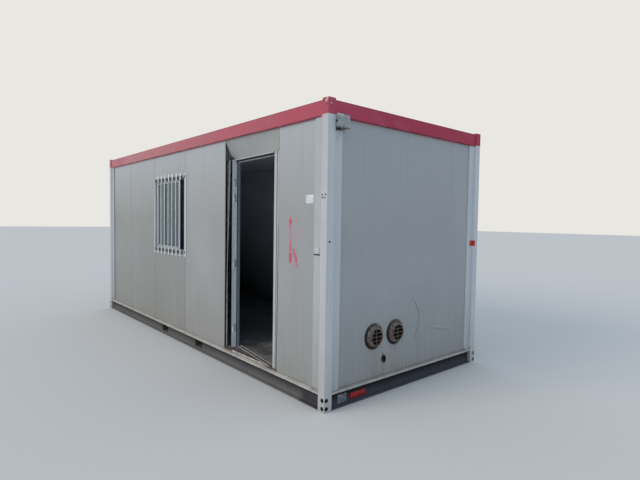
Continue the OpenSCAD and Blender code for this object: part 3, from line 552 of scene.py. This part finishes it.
# pale patches inwards from the door and towards the far end, and darker ones in the way in
floorCoat = makeCoat("scuffedSheetVinyl", vinylLook, [
    stroke((*start, floorTop), (*end, floorTop), width, colour, strength, core=core, gapMm=mm, gaps=least)
    for start, end, width, colour, strength, core, mm, least in (
        ((1.22, -0.86), (1.45, -0.76), 0.13, "#A9ABB2", 0.9, 0.5, 60, -0.2),
        ((2.0, -0.55), (2.9, 0.3), 0.75, "#B4AFA9", 0.9, 0.8, 60, 0.0),
        ((1.3, -1.02), (2.3, -1.02), 0.74, "#67666A", 0.95, 0.6, 40, 0.1),
        ((1.35, -0.88), (1.74, -0.93), 0.15, "#453E3C", 0.95, 0.3, 26, 0.2),
        ((1.32, -1.03), (2.17, -1.14), 0.09, "#8A837E", 0.8, 0.3, 18, 0.2))])

# Extruded rigid vinyl of the window: pale grey and smooth
windowCoat = makeCoat("extrudedVinylWindow", postLook, [
    # painted shadow behind the grille's rails, a paler stile on the right, and painted shade in the gap beside
    # it
    stroke((-0.86, -1.186, 2.222), (0.09, -1.186, 2.222), 0.03, "#2F3436", 0.9, gapMm=30, gaps=-0.2,
           core=0.4),
    stroke((-0.86, -1.186, 1.208), (0.09, -1.186, 1.208), 0.024, "#2F3436", 0.9, gapMm=30, gaps=-0.2,
           core=0.4),
    stroke((0.16, -1.186, 1.16), (0.16, -1.186, 2.3), 0.034, "#CBD0D3", 0.6, gaps=-0.6, core=0.7),
    stroke((0.112, -1.186, 1.24), (0.112, -1.186, 2.22), 0.015, "#33383B", 0.85, gaps=-0.6, core=0.7),
], colour="#B3B8BB", patch="#A9AFB2", patchMm=240, run="#979DA0", runAmount=0.4, wearAmount=0.0,
    dustAmount=0.0, fadeAmount=0.0)

# Anodised aluminium of the door frame: grey with a satin sheen, smudged by hands
doorLook = dict(
    colour="#BFC0C1", patch="#B4B6B9", patchMm=180, dentDepth=0.0006,
    run="#989B9F", runMm=26, runLength=0.06, runAmount=0.45,
    speck="#8F9296", speckAmount=0.3, grainMm=12, grainDepth=0.0002,
    rough=(0.36, 0.5), shader=aged,
)
doorHigh = 2.372
# the pushed-in jamb: painted shade on its front face and stops, painted light in its rebate; darker lines at
# the top and down the sound jamb
doorCoat = makeCoat("anodisedDoorFrame", doorLook, [
    stroke(doorPoint(*start), doorPoint(*end), width, colour, 0.95, core=core, gapMm=30, gaps=-0.5)
    for start, end, width, colour, core in (
        ((-1.001, 0, floorTop), (-1.001, 0, doorHigh), 0.028, "#8C98A3", 0.9),
        ((-0.977, 0.025, floorTop), (-0.977, 0.025, doorHigh - 0.02), 0.0245, "#F4F8FC", 0.9),
        ((-0.977, 0.043, 2.02), (-0.977, 0.041, doorHigh), 0.009, "#6C7782", 0.6),
        ((-0.96, 0.058, floorTop), (-0.96, 0.058, doorHigh - 0.02), 0.021, "#76808B", 0.9),
        ((-0.95, 0, doorHigh - 0.006), (-0.05, 0, doorHigh - 0.006), 0.016, "#A4A5A5", 0.9),
        ((-0.97, 0.034, doorHigh - 0.014), (-0.09, 0.034, doorHigh - 0.014), 0.015, "#33383D", 0.9))
] + [stroke(doorPoint(-0.036, 0, floorTop), doorPoint(-0.036, 0, doorHigh), 0.004, "#5E6164", 0.9, core=0.6,
            gaps=-0.5)])
# the sill bar: a near-white line along its back, and painted shade, near black, along its groove and under its
# nose
sill = {"x": 2.163, "y": -1.2075, "toX": -0.8356, "toY": 0.1323, "inwards": (0.1564, 0.9877, 0), "turn": 9}
sillEnds = [Vector((sill["x"] + sill["toX"], sill["y"] + sill["toY"], 0)), Vector((sill["x"], sill["y"], 0))]
sillCoat = makeCoat("anodisedSillBar", doorLook, [
    stroke(*(end + Vector(sill["inwards"]) * deep + Vector((0, 0, z)) for end in sillEnds), width, colour, 1.0,
           core=0.85, gaps=-1.0)
    for deep, z, width, colour in ((0.043, 0.207, 0.0105, "#FAF6F0"), (0.025, 0.204, 0.0125, "#100E0D"),
                                   (-0.001, 0.191, 0.0085, "#100E0D"))
], colour="#B5B2AE", patch="#A39F99", run="#7D776E", speck="#6C655D", speckAmount=0.6)

# Mild steel step with its paint gone: brown scale rust and trodden-in dirt
rustLook = dict(
    colour="#5E5047", patch="#4A3F38", patchMm=45, dentDepth=0.002,
    run="#857B71", runMm=20, runLength=1.0, runAmount=0.6, speck="#322A26",
    speckAmount=0.7, grainMm=5, grainDepth=0.0008, rough=(0.75, 0.9),
)
rustCoat = makeCoat("scaledRustSteel", rustLook)
# the step still has flakes of its pale paint along the ledge
stepCoat = makeCoat("flakingPaintStep", rustLook, [
    stroke((1.4, -1.198, 0.19), (2.1, -1.198, 0.19), 0.028, "#D6D3CC", 0.95, gapMm=90, gaps=0.2,
           core=0.5),
    stroke((1.24, -1.12, 0.19), (1.31, -1.105, 0.19), 0.03, "#BDB5AA", 0.8, gapMm=30, gaps=0.3,
           core=0.5)])
# Loose lath, rigid foam with a brown skin, crumbled at its edges; painted shade darkens its front edge
lathCoat = makeCoat("crumbledLath", rustLook, [
    stroke((1.2125, -1.178, 0.4), (1.2125, -1.15, 2.37), 0.016, "#3C342F", 0.9, core=0.6, gapMm=60,
           gaps=-0.3),
], colour="#D3CECB", patch="#B2A69E", run="#C9C5C4", speck="#8B7B70", speckAmount=0.4, runLength=0.1)

# Moulded ABS of the vents: yellowed brown-grey and chalky
ventLook = dict(
    colour="#8A7F7B", patch="#5E504A", patchMm=30, dentDepth=0.0006,
    run="#463A36", runMm=16, runLength=0.3, runAmount=0.8, speck="#B2A79F",
    speckAmount=0.8, grainMm=14, grainDepth=0.0006, rough=(0.6, 0.8), shader=dull,
)
ventCoats = [makeCoat("agedMouldedAbs", ventLook, [
    # painted shadow in a black crescent on the flange's rim, painted shade in rings at its steps, the mouth
    # darker brown with grime and painted shade, and its inside painted black
    ring((y + 0.007, z + 0.006), 0.1235, 0.0115, "#0D0B0B", 1.0, core=0.7, gaps=-0.6),
    ring((y, z), 0.1055, 0.0065, "#161312", 0.95, gaps=-0.6),
    ring((y, z), 0.1195, 0.0045, "#1E1A19", 0.95, gaps=-0.6),
    ring((y, z), 0.0, 0.082, "#37291F", 0.9, core=0.9, gapMm=16, gaps=-0.2),
    ring((y, z), 0.0, 0.0785, "#050404", 1.0, core=0.97, behind=endX + 0.0345, gaps=-1.0),
]) for y, z in ventCentres]

# Moulded glass-filled polyester of the power box: green-grey, rough with lichen, with painted shade, near
# black, on its underside
boxCoat = makeCoat("mouldedPolyesterBox", ventLook, [
    # the socket in its side, and three white spots along its upper edge
    stroke((3.0415, -1.134, 2.5448), (3.0415, -1.1, 2.5448), 0.019, "#7A838C", 1.0, core=0.8, hollow=True),
    *(stroke((x, y, z), (x, y + 0.004, z), 0.0075, "#F0EEEA", 1.0, gaps=-1.0, core=0.5)
      for x, y, z in ((3.058, -1.1325, 2.6045), (3.0625, -1.112, 2.603), (3.0625, -1.084, 2.6015))),
], colour="#B0ACB2", patch="#87958F", run="#8A8284", speck="#C6C9C3", runAmount=0.4,
    dust="#23272A", dustTop=2.503, dustFoot=2.487, dustAmount=0.9)

# EPDM rubber seal: near black and matt, greyed by dust
rubberLook = dict(
    colour="#1E2022", patch="#292A2B", patchMm=90, dentDepth=0.0005,
    run="#3C3B38", runMm=15, runAmount=0.4, speck="#45433F", speckAmount=0.3,
    grainMm=5, grainDepth=0.0002, rough=(0.7, 0.85),
)
rubberCoat = makeCoat("epdmSeal", rubberLook)
# Self-adhesive vinyl film: thin, even, faded by the sun
whiteFilm = makeCoat("fadedWhiteFilm", rubberLook, colour="#E0E3E9", patch="#CDD0D8", run="#C3C6CE",
                          speck="#C6CAD2", rough=(0.35, 0.5))
redFilm = makeCoat("fadedRedFilm", rubberLook, colour="#BC3A1B", patch="#A93318", run="#994028",
                        speck="#C4552F", rough=(0.45, 0.6))


def reflectorLens(name, look):
    # moulded acrylic with rows of corner cubes behind its face, which show as a fine even mesh
    material, add, feed = newMaterial(name, look["shader"])
    place = add("TexCoord", out="Object")
    cells = add("TexVoronoi", {"Vector": place, "Scale": 1000 / look["cellMm"], "Randomness": 0.0},
                feature="F1")
    dirt = add("TexNoise", {"Vector": place, "Scale": 1000 / look["dirtMm"], "Detail": 3})
    dirt = add("MapRange", {0: dirt, 1: 0.5, 2: 0.75, 4: 0.5})
    deeper = add("MapRange", {0: cells, 1: 0.1, 2: 0.6})
    colour = linear(look["bright"])
    for mask, shade in ((deeper, "deep"), (dirt, "dirt")):
        colour = add("Mix", {0: mask, 6: colour, 7: linear(look[shade])}, 2, data_type="RGBA")
    normal = add("Bump", {"Strength": 0.5, "Distance": 0.0006, "Height": cells})
    feed({"Base Color": colour, "Normal": normal})
    return material


# Red acrylic lens; its cells are drawn 5 mm wide, twice the real size, so that they show
lensCoat = reflectorLens("redAcrylicLens", {
    "bright": "#BE000A", "deep": "#8C0006", "dirt": "#541816", "cellMm": 5, "dirtMm": 60,
    "shader": {"Roughness": 0.18, "IOR": 1.49, "Coat Weight": 0.05},
})


def dustyGlass(name, look):
    # float glass under a film of dust, browner towards its right end, with fainter arcs where rain has
    # run; about half the light comes through between the grains
    material, add, feed = newMaterial(name, look["shader"])
    place = add("TexCoord", out="Object")
    upright = add("Mapping", {"Vector": place, "Scale": (1, 1, 0.08)})
    film = add("TexNoise", {"Vector": upright, "Scale": 1000 / look["runMm"], "Detail": 3})
    cloud = add("TexNoise", {"Vector": place, "Scale": 1000 / look["cloudMm"], "Detail": 2})
    along = add("SeparateXYZ", {"Vector": place}, "X")
    more = add("MapRange", {0: along, 1: -0.85, 2: -0.15, 3: -0.4, 4: 0.4})
    share = add("Math", {0: cloud, 1: more}, operation="ADD", use_clamp=True)
    dirty = add("MapRange", {0: film, 1: 0.45, 2: 0.7, 4: 0.6})
    colour = linear(look["colour"])
    for mask, shade in ((share, "cloud"), (dirty, "film")):
        colour = add("Mix", {0: mask, 6: colour, 7: linear(look[shade])}, 2, data_type="RGBA")
    rough = add("MapRange", {0: film, 1: 0.3, 2: 0.7, 3: 0.12, 4: 0.35})
    feed({"Base Color": colour, "Roughness": rough})
    return material


glassCoat = dustyGlass("dustyFloatGlass", {
    "colour": "#8596A0", "cloud": "#606D6E", "film": "#8E9B9A", "runMm": 70, "cloudMm": 380,
    "shader": {"IOR": 1.5, "Alpha": 0.55},
})
print("materials made")

finishes = {
    farCoat: "front_panel_1 front_panel_2 panel_under_window panel_over_window",
    edgeCoat: "front_panel_3",
    markedCoat: "front_panel_4",
    bentCoat: "over_door_panel",
    sideStripCoat: "door_side_strips",
    endCoat: "wall_right",
    plainCoat: "wall_back wall_left",
    postCoat: "post_front_left post_front_right post_back_left post_back_right",
    footCoat: "foot_blocks",
    stripCoat: "corner_strips",
    railCoat: "roof_rail_front roof_rail_back head_blocks",
    endRailCoat: "roof_rail_left roof_rail_right",
    baseCoat: "base_rail_front base_rail_back fork_pocket_frames fork_sleeves floor_bearers",
    shadedEndBaseCoat: "base_rail_left base_rail_right",
    ledgeCoat: "ledges",
    roofZinc: "roof_sheet",
    liningCoat: "ceiling_panel",
    floorCoat: "floor_panel",
    windowCoat: "window_frame window_sashes",
    glassCoat: "window_glass",
    grilleZinc: "grille_rails",
    stepCoat: "threshold",
    doorCoat: "door_frame",
    hingeCoat: "door_hinges",
    sillCoat: "door_sill",
    lathCoat: "joint_lath",
    ventCoats[0]: "vent_left",
    ventCoats[1]: "vent_right",
    boxCoat: "power_box",
}
for coat, coated in finishes.items():
    for nodeName in coated.split():
        slots = nodes[nodeName].material_slots
        if not slots:
            nodes[nodeName].data.materials.append(coat)
        for one in slots:
            one.material = coat
print("finishes on the CAD nodes")


def clearSelection():
    if bpy.context.mode != "OBJECT":
        bpy.ops.object.mode_set(mode="OBJECT")
    bpy.ops.object.select_all(action="DESELECT")


def takeUp(piece):
    clearSelection()
    piece.select_set(True)
    bpy.context.view_layer.objects.active = piece


def settle(piece):
    # its place and turn go into its mesh
    takeUp(piece)
    bpy.ops.object.transform_apply(location=True, rotation=True, scale=True)


@contextmanager
def editing(piece):
    # edit mode on one piece, and back
    takeUp(piece)
    bpy.ops.object.mode_set(mode="EDIT")
    yield
    bpy.ops.object.mode_set(mode="OBJECT")


def pick(piece, kind, test):
    # in edit mode: selects the corners, edges or faces that pass a test
    bpy.ops.mesh.select_mode(type=kind)
    bpy.ops.mesh.select_all(action="DESELECT")
    mesh = bmesh.from_edit_mesh(piece.data)
    for part in {"VERT": mesh.verts, "EDGE": mesh.edges, "FACE": mesh.faces}[kind]:
        if test(part):
            part.select_set(True)
    mesh.select_flush_mode()
    bmesh.update_edit_mesh(piece.data)


def joinAll(parts, name):
    # one object of all the parts, in place of the first
    clearSelection()
    for part in parts:
        part.select_set(True)
    bpy.context.view_layer.objects.active = parts[0]
    bpy.ops.object.join()
    whole = bpy.context.object
    whole.name = name
    return whole


def addBox(name, low, high):
    clearSelection()
    middle = [(a + b) / 2 for a, b in zip(low, high)]
    size = [b - a for a, b in zip(low, high)]
    bpy.ops.mesh.primitive_cube_add(size=1, location=middle, scale=size)
    box = bpy.context.object
    box.name = name
    settle(box)
    return box


def addRound(name, middle, radius, depth, axis, sides):
    clearSelection()
    turn = {"X": (0, pi / 2, 0), "Y": (pi / 2, 0, 0), "Z": (0, 0, 0)}[axis]
    bpy.ops.mesh.primitive_cylinder_add(
        vertices=sides, radius=radius, depth=depth, location=middle, rotation=turn)
    rod = bpy.context.object
    rod.name = name
    settle(rod)
    return rod


def bevelAll(piece, width, segments=2):
    takeUp(piece)
    bpy.ops.object.modifier_add(type="BEVEL")
    bevel = piece.modifiers[-1]
    bevel.width = width
    bevel.segments = segments
    bevel.limit_method = "ANGLE"
    bevel.angle_limit = radians(40)
    bpy.ops.object.modifier_apply(modifier=bevel.name)


def addRing(name, low, high, border):
    # a flat ring in the upright plane along X: a box, inset on both faces and bridged through
    band = addBox(name, low, high)
    with editing(band):
        pick(band, "FACE", lambda face: abs(face.normal.y) > 0.5)
        bpy.ops.mesh.inset(thickness=border, depth=0)
        bpy.ops.mesh.bridge_edge_loops()
        bpy.ops.mesh.select_all(action="SELECT")
        bpy.ops.mesh.normals_make_consistent(inside=False)
    return band


def addPlate(name, low, high, corner, axis, segments=4):
    # a flat plate or film, its corners rounded about an axis
    plate = addBox(name, low, high)
    index = "XYZ".index(axis)
    with editing(plate):
        pick(plate, "EDGE", lambda edge: abs((edge.verts[0].co - edge.verts[1].co)[index]) > 1e-5)
        bpy.ops.mesh.bevel(offset=corner, segments=segments)
    return plate


def copyPiece(source, name, shift):
    takeUp(source)
    bpy.ops.object.duplicate(linked=False)
    twin = bpy.context.object
    twin.name = name
    twin.location = shift
    settle(twin)
    return twin


def copyToEach(source, name, places):
    # copies of one small part, each with its own mesh, joined as a set; the part itself goes
    whole = joinAll([copyPiece(source, name + str(i), place) for i, place in enumerate(places)], name)
    bpy.data.objects.remove(source)
    return whole


def finish(piece, coat, replaced=(), smooth=35):
    settle(piece)
    bpy.ops.object.shade_smooth_by_angle(angle=radians(smooth))
    piece.data.materials.clear()
    piece.data.materials.append(coat)
    piece.data.name = piece.name
    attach(piece, body)
    if replaced:
        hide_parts(*replaced)


def dressedCopy(nodeName, name, edge=0.0, segments=1):
    # a merged copy of a CAD node with its edges broken, to stand for the plain one
    takeUp(nodes[nodeName])
    bpy.ops.object.duplicate(linked=False)
    piece = bpy.context.object
    piece.name = name
    piece.parent = None
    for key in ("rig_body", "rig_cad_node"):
        del piece[key]
    with editing(piece):
        bpy.ops.mesh.select_all(action="SELECT")
        bpy.ops.mesh.customdata_custom_splitnormals_clear()
        bpy.ops.mesh.remove_doubles(threshold=0.00001)
        bpy.ops.mesh.dissolve_limited(angle_limit=radians(0.5))
    if edge:
        bevelAll(piece, edge, segments)
    return piece


# The window's bars: round steel, hammered flat at both ends and bolted to the grille's rails
bars = {
    "count": 7,
    "firstX": -0.75,
    "pitch": 0.1285,
    "radius": 0.009,
    "y": -1.2075,           # axis of the bars
    "low": 1.165,
    "high": 2.3,
    "flatLow": 1.262,       # where the hammered ends begin
    "flatHigh": 2.212,
    "shoulder": 0.014,      # length over which a bar goes flat
    "flatY": -1.202,       # middle of the flat, which lies on the rail
    "flatten": (1.45, 0.36, 1),
    "rails": (1.232, 2.243),
    "boltY": -1.2053,
    "boltAcross": 0.0075,
}


def makeBar():
    long = bars["high"] - bars["low"]
    middle = (bars["firstX"], bars["y"], bars["low"] + long / 2)
    bar = addRound("windowBar_1", middle, bars["radius"], long, "Z", 20)
    with editing(bar):
        for z in (bars["flatLow"], bars["flatLow"] + bars["shoulder"], bars["flatHigh"] - bars["shoulder"],
                  bars["flatHigh"]):
            bpy.ops.mesh.select_all(action="SELECT")
            bpy.ops.mesh.bisect(plane_co=(0, 0, z), plane_no=(0, 0, 1))
        for isFlat in (lambda z: z < bars["flatLow"] + 0.001, lambda z: z > bars["flatHigh"] - 0.001):
            pick(bar, "VERT", lambda corner: isFlat(corner.co.z))
            bpy.ops.transform.resize(value=bars["flatten"], center_override=middle)
            bpy.ops.transform.translate(value=(0, bars["flatY"] - bars["y"], 0))
        pick(bar, "FACE", lambda face: abs(face.normal.z) > 0.9)
        bpy.ops.mesh.bevel(offset=0.0016, segments=2)
    return bar


outwards = {"X": Vector((1, 0, 0)), "Y": Vector((0, -1, 0)), "Z": Vector((0, 0, 1))}


def makeBolt(name, middle, across, axis):
    # hexagon head on a washer, both with broken edges; it stands outwards along its axis
    step = outwards[axis]
    middle = Vector(middle)
    thick = 0.0015
    washer = addRound(name + "Washer", middle + step * thick / 2, across * 1.35, thick, axis, 20)
    bevelAll(washer, 0.0003, 1)
    head = addRound(name, middle + step * (thick + across * 0.28), across, across * 0.56, axis, 6)
    with editing(head):
        pick(head, "FACE", lambda face: face.normal.dot(step) > 0.9)
        bpy.ops.mesh.inset(thickness=across * 0.12, depth=across * 0.1)
    return joinAll([head, washer], name)


def makeScrew(name, middle, radius, axis):
    # low domed head with a square socket sunk in it
    step = outwards[axis]
    high = radius * 0.45
    screw = addRound(name, Vector(middle) + step * high / 2, radius, high, axis, 16)
    with editing(screw):
        pick(screw, "FACE", lambda face: face.normal.dot(step) > 0.9)
        bpy.ops.mesh.bevel(offset=radius * 0.3, segments=2)
        pick(screw, "FACE", lambda face: face.normal.dot(step) > 0.99)
        bpy.ops.mesh.inset(thickness=radius * 0.35, depth=0)
        bpy.ops.mesh.inset(thickness=radius * 0.04, depth=-radius * 0.2)
    return screw


def screwSet(name, face, radius, axis, places):
    # one screw whose foot stands on a face, and its copies at every place
    middle = {"X": (face, 0, 0), "Y": (0, face, 0)}[axis]
    return copyToEach(makeScrew(name + "First", middle, radius, axis), name, places)


firstBar = makeBar()
barCopies = [copyPiece(firstBar, "windowBar_" + str(i + 1), (bars["pitch"] * i, 0, 0))
             for i in range(1, bars["count"])]
for bar in [firstBar] + barCopies:
    finish(bar, barCoat)
barBolt = makeBolt("barBolt", (0, bars["boltY"], 0), bars["boltAcross"], "Y")
finish(copyToEach(barBolt, "barBolts", [
    (bars["firstX"] + bars["pitch"] * i, 0, z) for i in range(bars["count"]) for z in bars["rails"]]),
    hingeCoat)

railEnds = {"y": -1.1975, "xs": (-0.888, 0.128), "across": 0.0085}
railBolt = makeBolt("railBolt", (0, railEnds["y"], 0), railEnds["across"], "Y")
finish(copyToEach(railBolt, "grilleRailBolts", [(x, 0, z) for x in railEnds["xs"] for z in bars["rails"]]),
       hingeCoat)

# rubber beads round both panes, on both faces
panes = {
    "outer": ((-0.561, -0.117), (-1.1695, -1.1535)),  # glass opening in x, then faces of the sash in y
    "inner": ((-0.843, -0.399), (-1.1515, -1.1355)),
    "low": 1.293, "high": 2.182, "bead": 0.007, "near": 0.0005, "deep": 0.0045, "edge": 0.0008,
}
for name in ("outer", "inner"):
    (x0, x1), (y0, y1) = panes[name]
    for side, (a, b) in {"Front": (y0 + panes["near"], y0 + panes["deep"]),
                         "Back": (y1 - panes["deep"], y1 - panes["near"])}.items():
        bead = addRing(name + "PaneBead" + side, (x0, a, panes["low"]), (x1, b, panes["high"]), panes["bead"])
        bevelAll(bead, panes["edge"], 1)
        finish(bead, rubberCoat)
print("window bars, bolts and beads made")


def intoDoorFrame(piece):
    # from the door frame's own axes to its pushed-in place
    piece.location = cabin["doorEdge"]
    piece.rotation_euler = (0, 0, radians(cabin["doorTurn"]))
    return piece


finish(dressedCopy("over_door_panel", "overDoorSkin"), bentCoat, ["over_door_panel"], 40)
brokenEdges = {"hinges": 0.0006, "vents": 0.0008, "box": 0.0025}
finish(dressedCopy("door_hinges", "liftOffHinges", brokenEdges["hinges"]), hingeCoat, ["door_hinges"])

# the door's seal, which ends just over the floor
doorSeal = {"low": (-0.9765, 0.0365, 0.15), "high": (-0.0835, 0.0455, 2.3575), "wide": 0.011, "foot": 0.191,
            "edge": 0.003}
seal = addRing("doorSeal", doorSeal["low"], doorSeal["high"], doorSeal["wide"])
with editing(seal):
    bpy.ops.mesh.select_all(action="SELECT")
    bpy.ops.mesh.bisect(plane_co=(0, 0, doorSeal["foot"]), plane_no=(0, 0, 1), clear_inner=True, use_fill=True)
bevelAll(seal, doorSeal["edge"])
finish(intoDoorFrame(seal), rubberCoat)

# screws in the left jamb: four in each hinge plate, and five in its stop
jamb = {
    "plateX": -0.974, "plateScrew": 0.0068, "hinges": [floorTop + 0.23 + 0.755 * k for k in range(3)],
    "spots": [(0.009, 0.034), (0.022, 0.014), (0.022, -0.009), (0.022, -0.032)],  # depth and height on a plate
    "stopX": -0.957, "stopScrew": 0.0045, "stops": [(0, 0.058, z) for z in (0.42, 0.98, 1.55, 2.12, 2.27)],
}
# these screws, the closer's and the stop's take the near-black rubber coat as painted shade, dark like the
# holes round them
finish(intoDoorFrame(screwSet("hingeScrews", jamb["plateX"], jamb["plateScrew"], "X", [
    (0, y, z + up) for z in jamb["hinges"] for y, up in jamb["spots"]])), rubberCoat)

# a plate with four screws above the top hinge, where the closer's arm was fixed
closer = {"low": (-0.977, 0.006, 2.069), "high": (-0.9745, 0.038, 2.149), "corner": 0.005, "middle": 2.107}
closerPlate = addPlate("closerPlate", closer["low"], closer["high"], closer["corner"], "X", 3)
finish(intoDoorFrame(closerPlate), hingeCoat)
finish(intoDoorFrame(screwSet("closerScrews", closer["high"][0], jamb["plateScrew"], "X", [
    (0, y, closer["middle"] + up) for y, up in jamb["spots"]])), rubberCoat)
finish(intoDoorFrame(screwSet("jambFixings", jamb["stopX"], jamb["stopScrew"], "X", jamb["stops"])),
       rubberCoat)

# strike plate in the sound jamb, where the missing leaf's latch went in
strike = {"low": (-0.0845, 0.008, 1.17), "high": (-0.083, 0.036, 1.33), "slot": 0.007, "middle": 1.25,
          "slotShare": 0.45, "slotDeep": 0.0011, "edge": 0.0003}
strikePlate = addBox("strikePlate", strike["low"], strike["high"])
with editing(strikePlate):
    pick(strikePlate, "FACE", lambda face: face.normal.x < -0.5)
    bpy.ops.mesh.inset(thickness=strike["slot"], depth=0)
    bpy.ops.transform.resize(value=(1, 1, strike["slotShare"]), center_override=(0, 0, strike["middle"]))
    bpy.ops.mesh.inset(thickness=strike["edge"], depth=-strike["slotDeep"])
bevelAll(strikePlate, strike["edge"], 1)
finish(intoDoorFrame(strikePlate), zincCoat)

# grit and rust flakes on the step, and a few on the floor behind it
grit = {
    "count": 95, "seed": 11, "small": 0.0022, "large": 0.0085, "sunk": 0.32, "knocked": 0.4,
    "x": (1.23, 2.18), "onStep": (0.04, 0.15), "onFloor": (0.15, 0.42), "stepShare": 0.8,
    "sillFront": 0.01, "before": 0.012, "behind": 0.062,  # no grit on the sill bar
}


def makeGrit():
    dice = random.Random(grit["seed"])
    stones = []
    while len(stones) < grit["count"]:
        x = dice.uniform(*grit["x"])
        deep = dice.uniform(*grit["onStep" if dice.random() < grit["stepShare"] else "onFloor"])
        sillEdge = grit["sillFront"] + (sill["x"] - x) * tan(radians(sill["turn"]))
        if sillEdge - grit["before"] < deep < sillEdge + grit["behind"]:
            continue
        size = dice.uniform(grit["small"], grit["large"])
        clearSelection()
        bpy.ops.mesh.primitive_ico_sphere_add(
            subdivisions=1, radius=size, rotation=(0, 0, dice.uniform(0, 6.28)),
            location=(x, -cabin["halfWidth"] + deep, floorTop + size * grit["sunk"]))
        stone = bpy.context.object
        stone.scale = (dice.uniform(0.8, 1.3), dice.uniform(0.6, 1.0), dice.uniform(0.35, 0.55))
        settle(stone)
        with editing(stone):
            pick(stone, "VERT", lambda corner: dice.random() < grit["knocked"])
            knock = [dice.uniform(-0.3, 0.3) * size for way in "XY"]
            bpy.ops.transform.translate(value=(*knock, 0))
        stones.append(stone)
    return joinAll(stones, "stepGrit")


finish(makeGrit(), rustCoat, smooth=20)
print("doorway fittings made")

vents = {"vent_left": "ventFront", "vent_right": "ventBack", "screwX": endX + 0.006, "screw": 0.0045,
         "screwRing": 0.1115, "angles": (45, 135, 225, 315)}
for nodeName, coat in zip(("vent_left", "vent_right"), ventCoats):
    finish(dressedCopy(nodeName, vents[nodeName], brokenEdges["vents"]), coat, [nodeName])
finish(screwSet("ventScrews", vents["screwX"], vents["screw"], "X", [
    (0, y + vents["screwRing"] * cos(radians(a)), z + vents["screwRing"] * sin(radians(a)))
    for y, z in ventCentres for a in vents["angles"]]), rustCoat)

finish(dressedCopy("power_box", "powerInlet", brokenEdges["box"], 2), boxCoat, ["power_box"])

# on the end base rail: the reflector with its raised face, and the bare plate on four rivets
lens = {"low": (2.9855, -0.861, 0.035), "high": (2.9935, -0.658, 0.09), "corner": 0.006, "rim": 0.003,
        "raised": 0.0012, "edge": 0.0006}
reflector = addPlate("redReflector", lens["low"], lens["high"], lens["corner"], "X")
with editing(reflector):
    pick(reflector, "FACE", lambda face: face.normal.x > 0.9)
    bpy.ops.mesh.inset(thickness=lens["rim"], depth=lens["raised"])
bevelAll(reflector, lens["edge"], 1)
finish(reflector, lensCoat)
bare = {"low": (2.9875, -1.0205, 0.026), "high": (2.9895, -0.909, 0.108), "corner": 0.006, "rivet": 0.0035,
        "rivets": [(0, y, z) for y in (-1.012, -0.918) for z in (0.035, 0.099)]}
finish(addPlate("barePlate", bare["low"], bare["high"], bare["corner"], "X"), bareSheet)
finish(screwSet("plateRivets", bare["high"][0], bare["rivet"], "X", bare["rivets"]), fastenerCoat)

# red film over the far strip, its step and the post, and a white one on the front wall
film = {"low": 1.409, "high": 1.474, "parts": {
    "redFilmPatch": ((3.0089, 1.0712), (3.0101, 1.1325), 0.003, "X"),
    "filmOverStep": ((3.0095, 1.1319), (3.0281, 1.1331), 0.001, "Y"),
    "filmOnPost": ((3.0269, 1.1325), (3.0281, 1.168), 0.003, "X")}}
finish(joinAll([
    addPlate(name, (*near, film["low"]), (*far, film["high"]), corner, axis)
    for name, (near, far, corner, axis) in film["parts"].items()], "redFilmPatch"), redFilm)
white = {"low": (2.7, frontY - 0.0004, 1.84), "high": (2.808, frontY + 0.0002, 1.918), "corner": 0.003}
finish(addPlate("whiteFilmPatch", white["low"], white["high"], white["corner"], "Y"), whiteFilm)

# folded pocket on the front corner strip, with a dark rubber lip along its foot
pocket = {"low": (2.85, -1.2045, 1.39), "high": (2.914, -1.1995, 1.446), "corner": 0.004, "edge": 0.0018,
          "lipLow": (2.845, -1.2065, 1.378), "lipHigh": (2.921, -1.1995, 1.388), "lipEdge": 0.0025}
stripPocket = addPlate("stripPocket", pocket["low"], pocket["high"], pocket["corner"], "Y")
bevelAll(stripPocket, pocket["edge"])
finish(stripPocket, postCoat)
lip = addBox("pocketLip", pocket["lipLow"], pocket["lipHigh"])
bevelAll(lip, pocket["lipEdge"], 3)
finish(lip, rubberCoat)

# plugged holes in the near post, front and end, and blind rivets down the strips
studs = {
    "plug": 0.0075, "endPlug": 0.009, "rivet": 0.0042, "endPlugPlace": (cabin["halfLength"], -1.181, 1.5035),
    "stripFront": -1.1995, "stripEnd": 3.0095,
    "frontPlugs": [(2.965, 0, 1.91), (3.008, 0, 1.912), (2.966, 0, 1.885), (2.998, 0, 1.884)],
    "frontRivets": [(x, 0, z) for x in (-2.935, -2.85, 2.85, 2.935) for z in (0.3, 0.92, 1.62, 2.1, 2.5)],
    "endRivets": [(0, y, z) for y in (-1.045, 1.045) for z in (0.3, 0.86, 1.42, 1.98)],
}
finish(screwSet("frontPostPlugs", -cabin["halfWidth"], studs["plug"], "Y", studs["frontPlugs"]), rubberCoat)
finish(makeScrew("endPostPlugs", studs["endPlugPlace"], studs["endPlug"], "X"), rubberCoat)
for name, face, axis, places in (("frontStripRivets", studs["stripFront"], "Y", studs["frontRivets"]),
                                 ("endStripRivets", studs["stripEnd"], "X", studs["endRivets"])):
    finish(screwSet(name, face, studs["rivet"], axis, places), stripCoat)
print("end wall fittings made")

# Roof screws, one on each rib over both gutters and the middle
roof = {"pitch": 0.25, "ribs": 11, "rows": (-1.06, 0.0, 1.06), "across": 0.0055}
roofScrew = makeBolt("roofScrew", (0, 0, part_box("roof_sheet")[1].z), roof["across"], "Z")
finish(copyToEach(roofScrew, "roofScrews", [
    (k * roof["pitch"], y, 0) for k in range(-roof["ribs"], roof["ribs"] + 1) for y in roof["rows"]]),
    fastenerCoat)
print("roof screws made")

clearSelection()
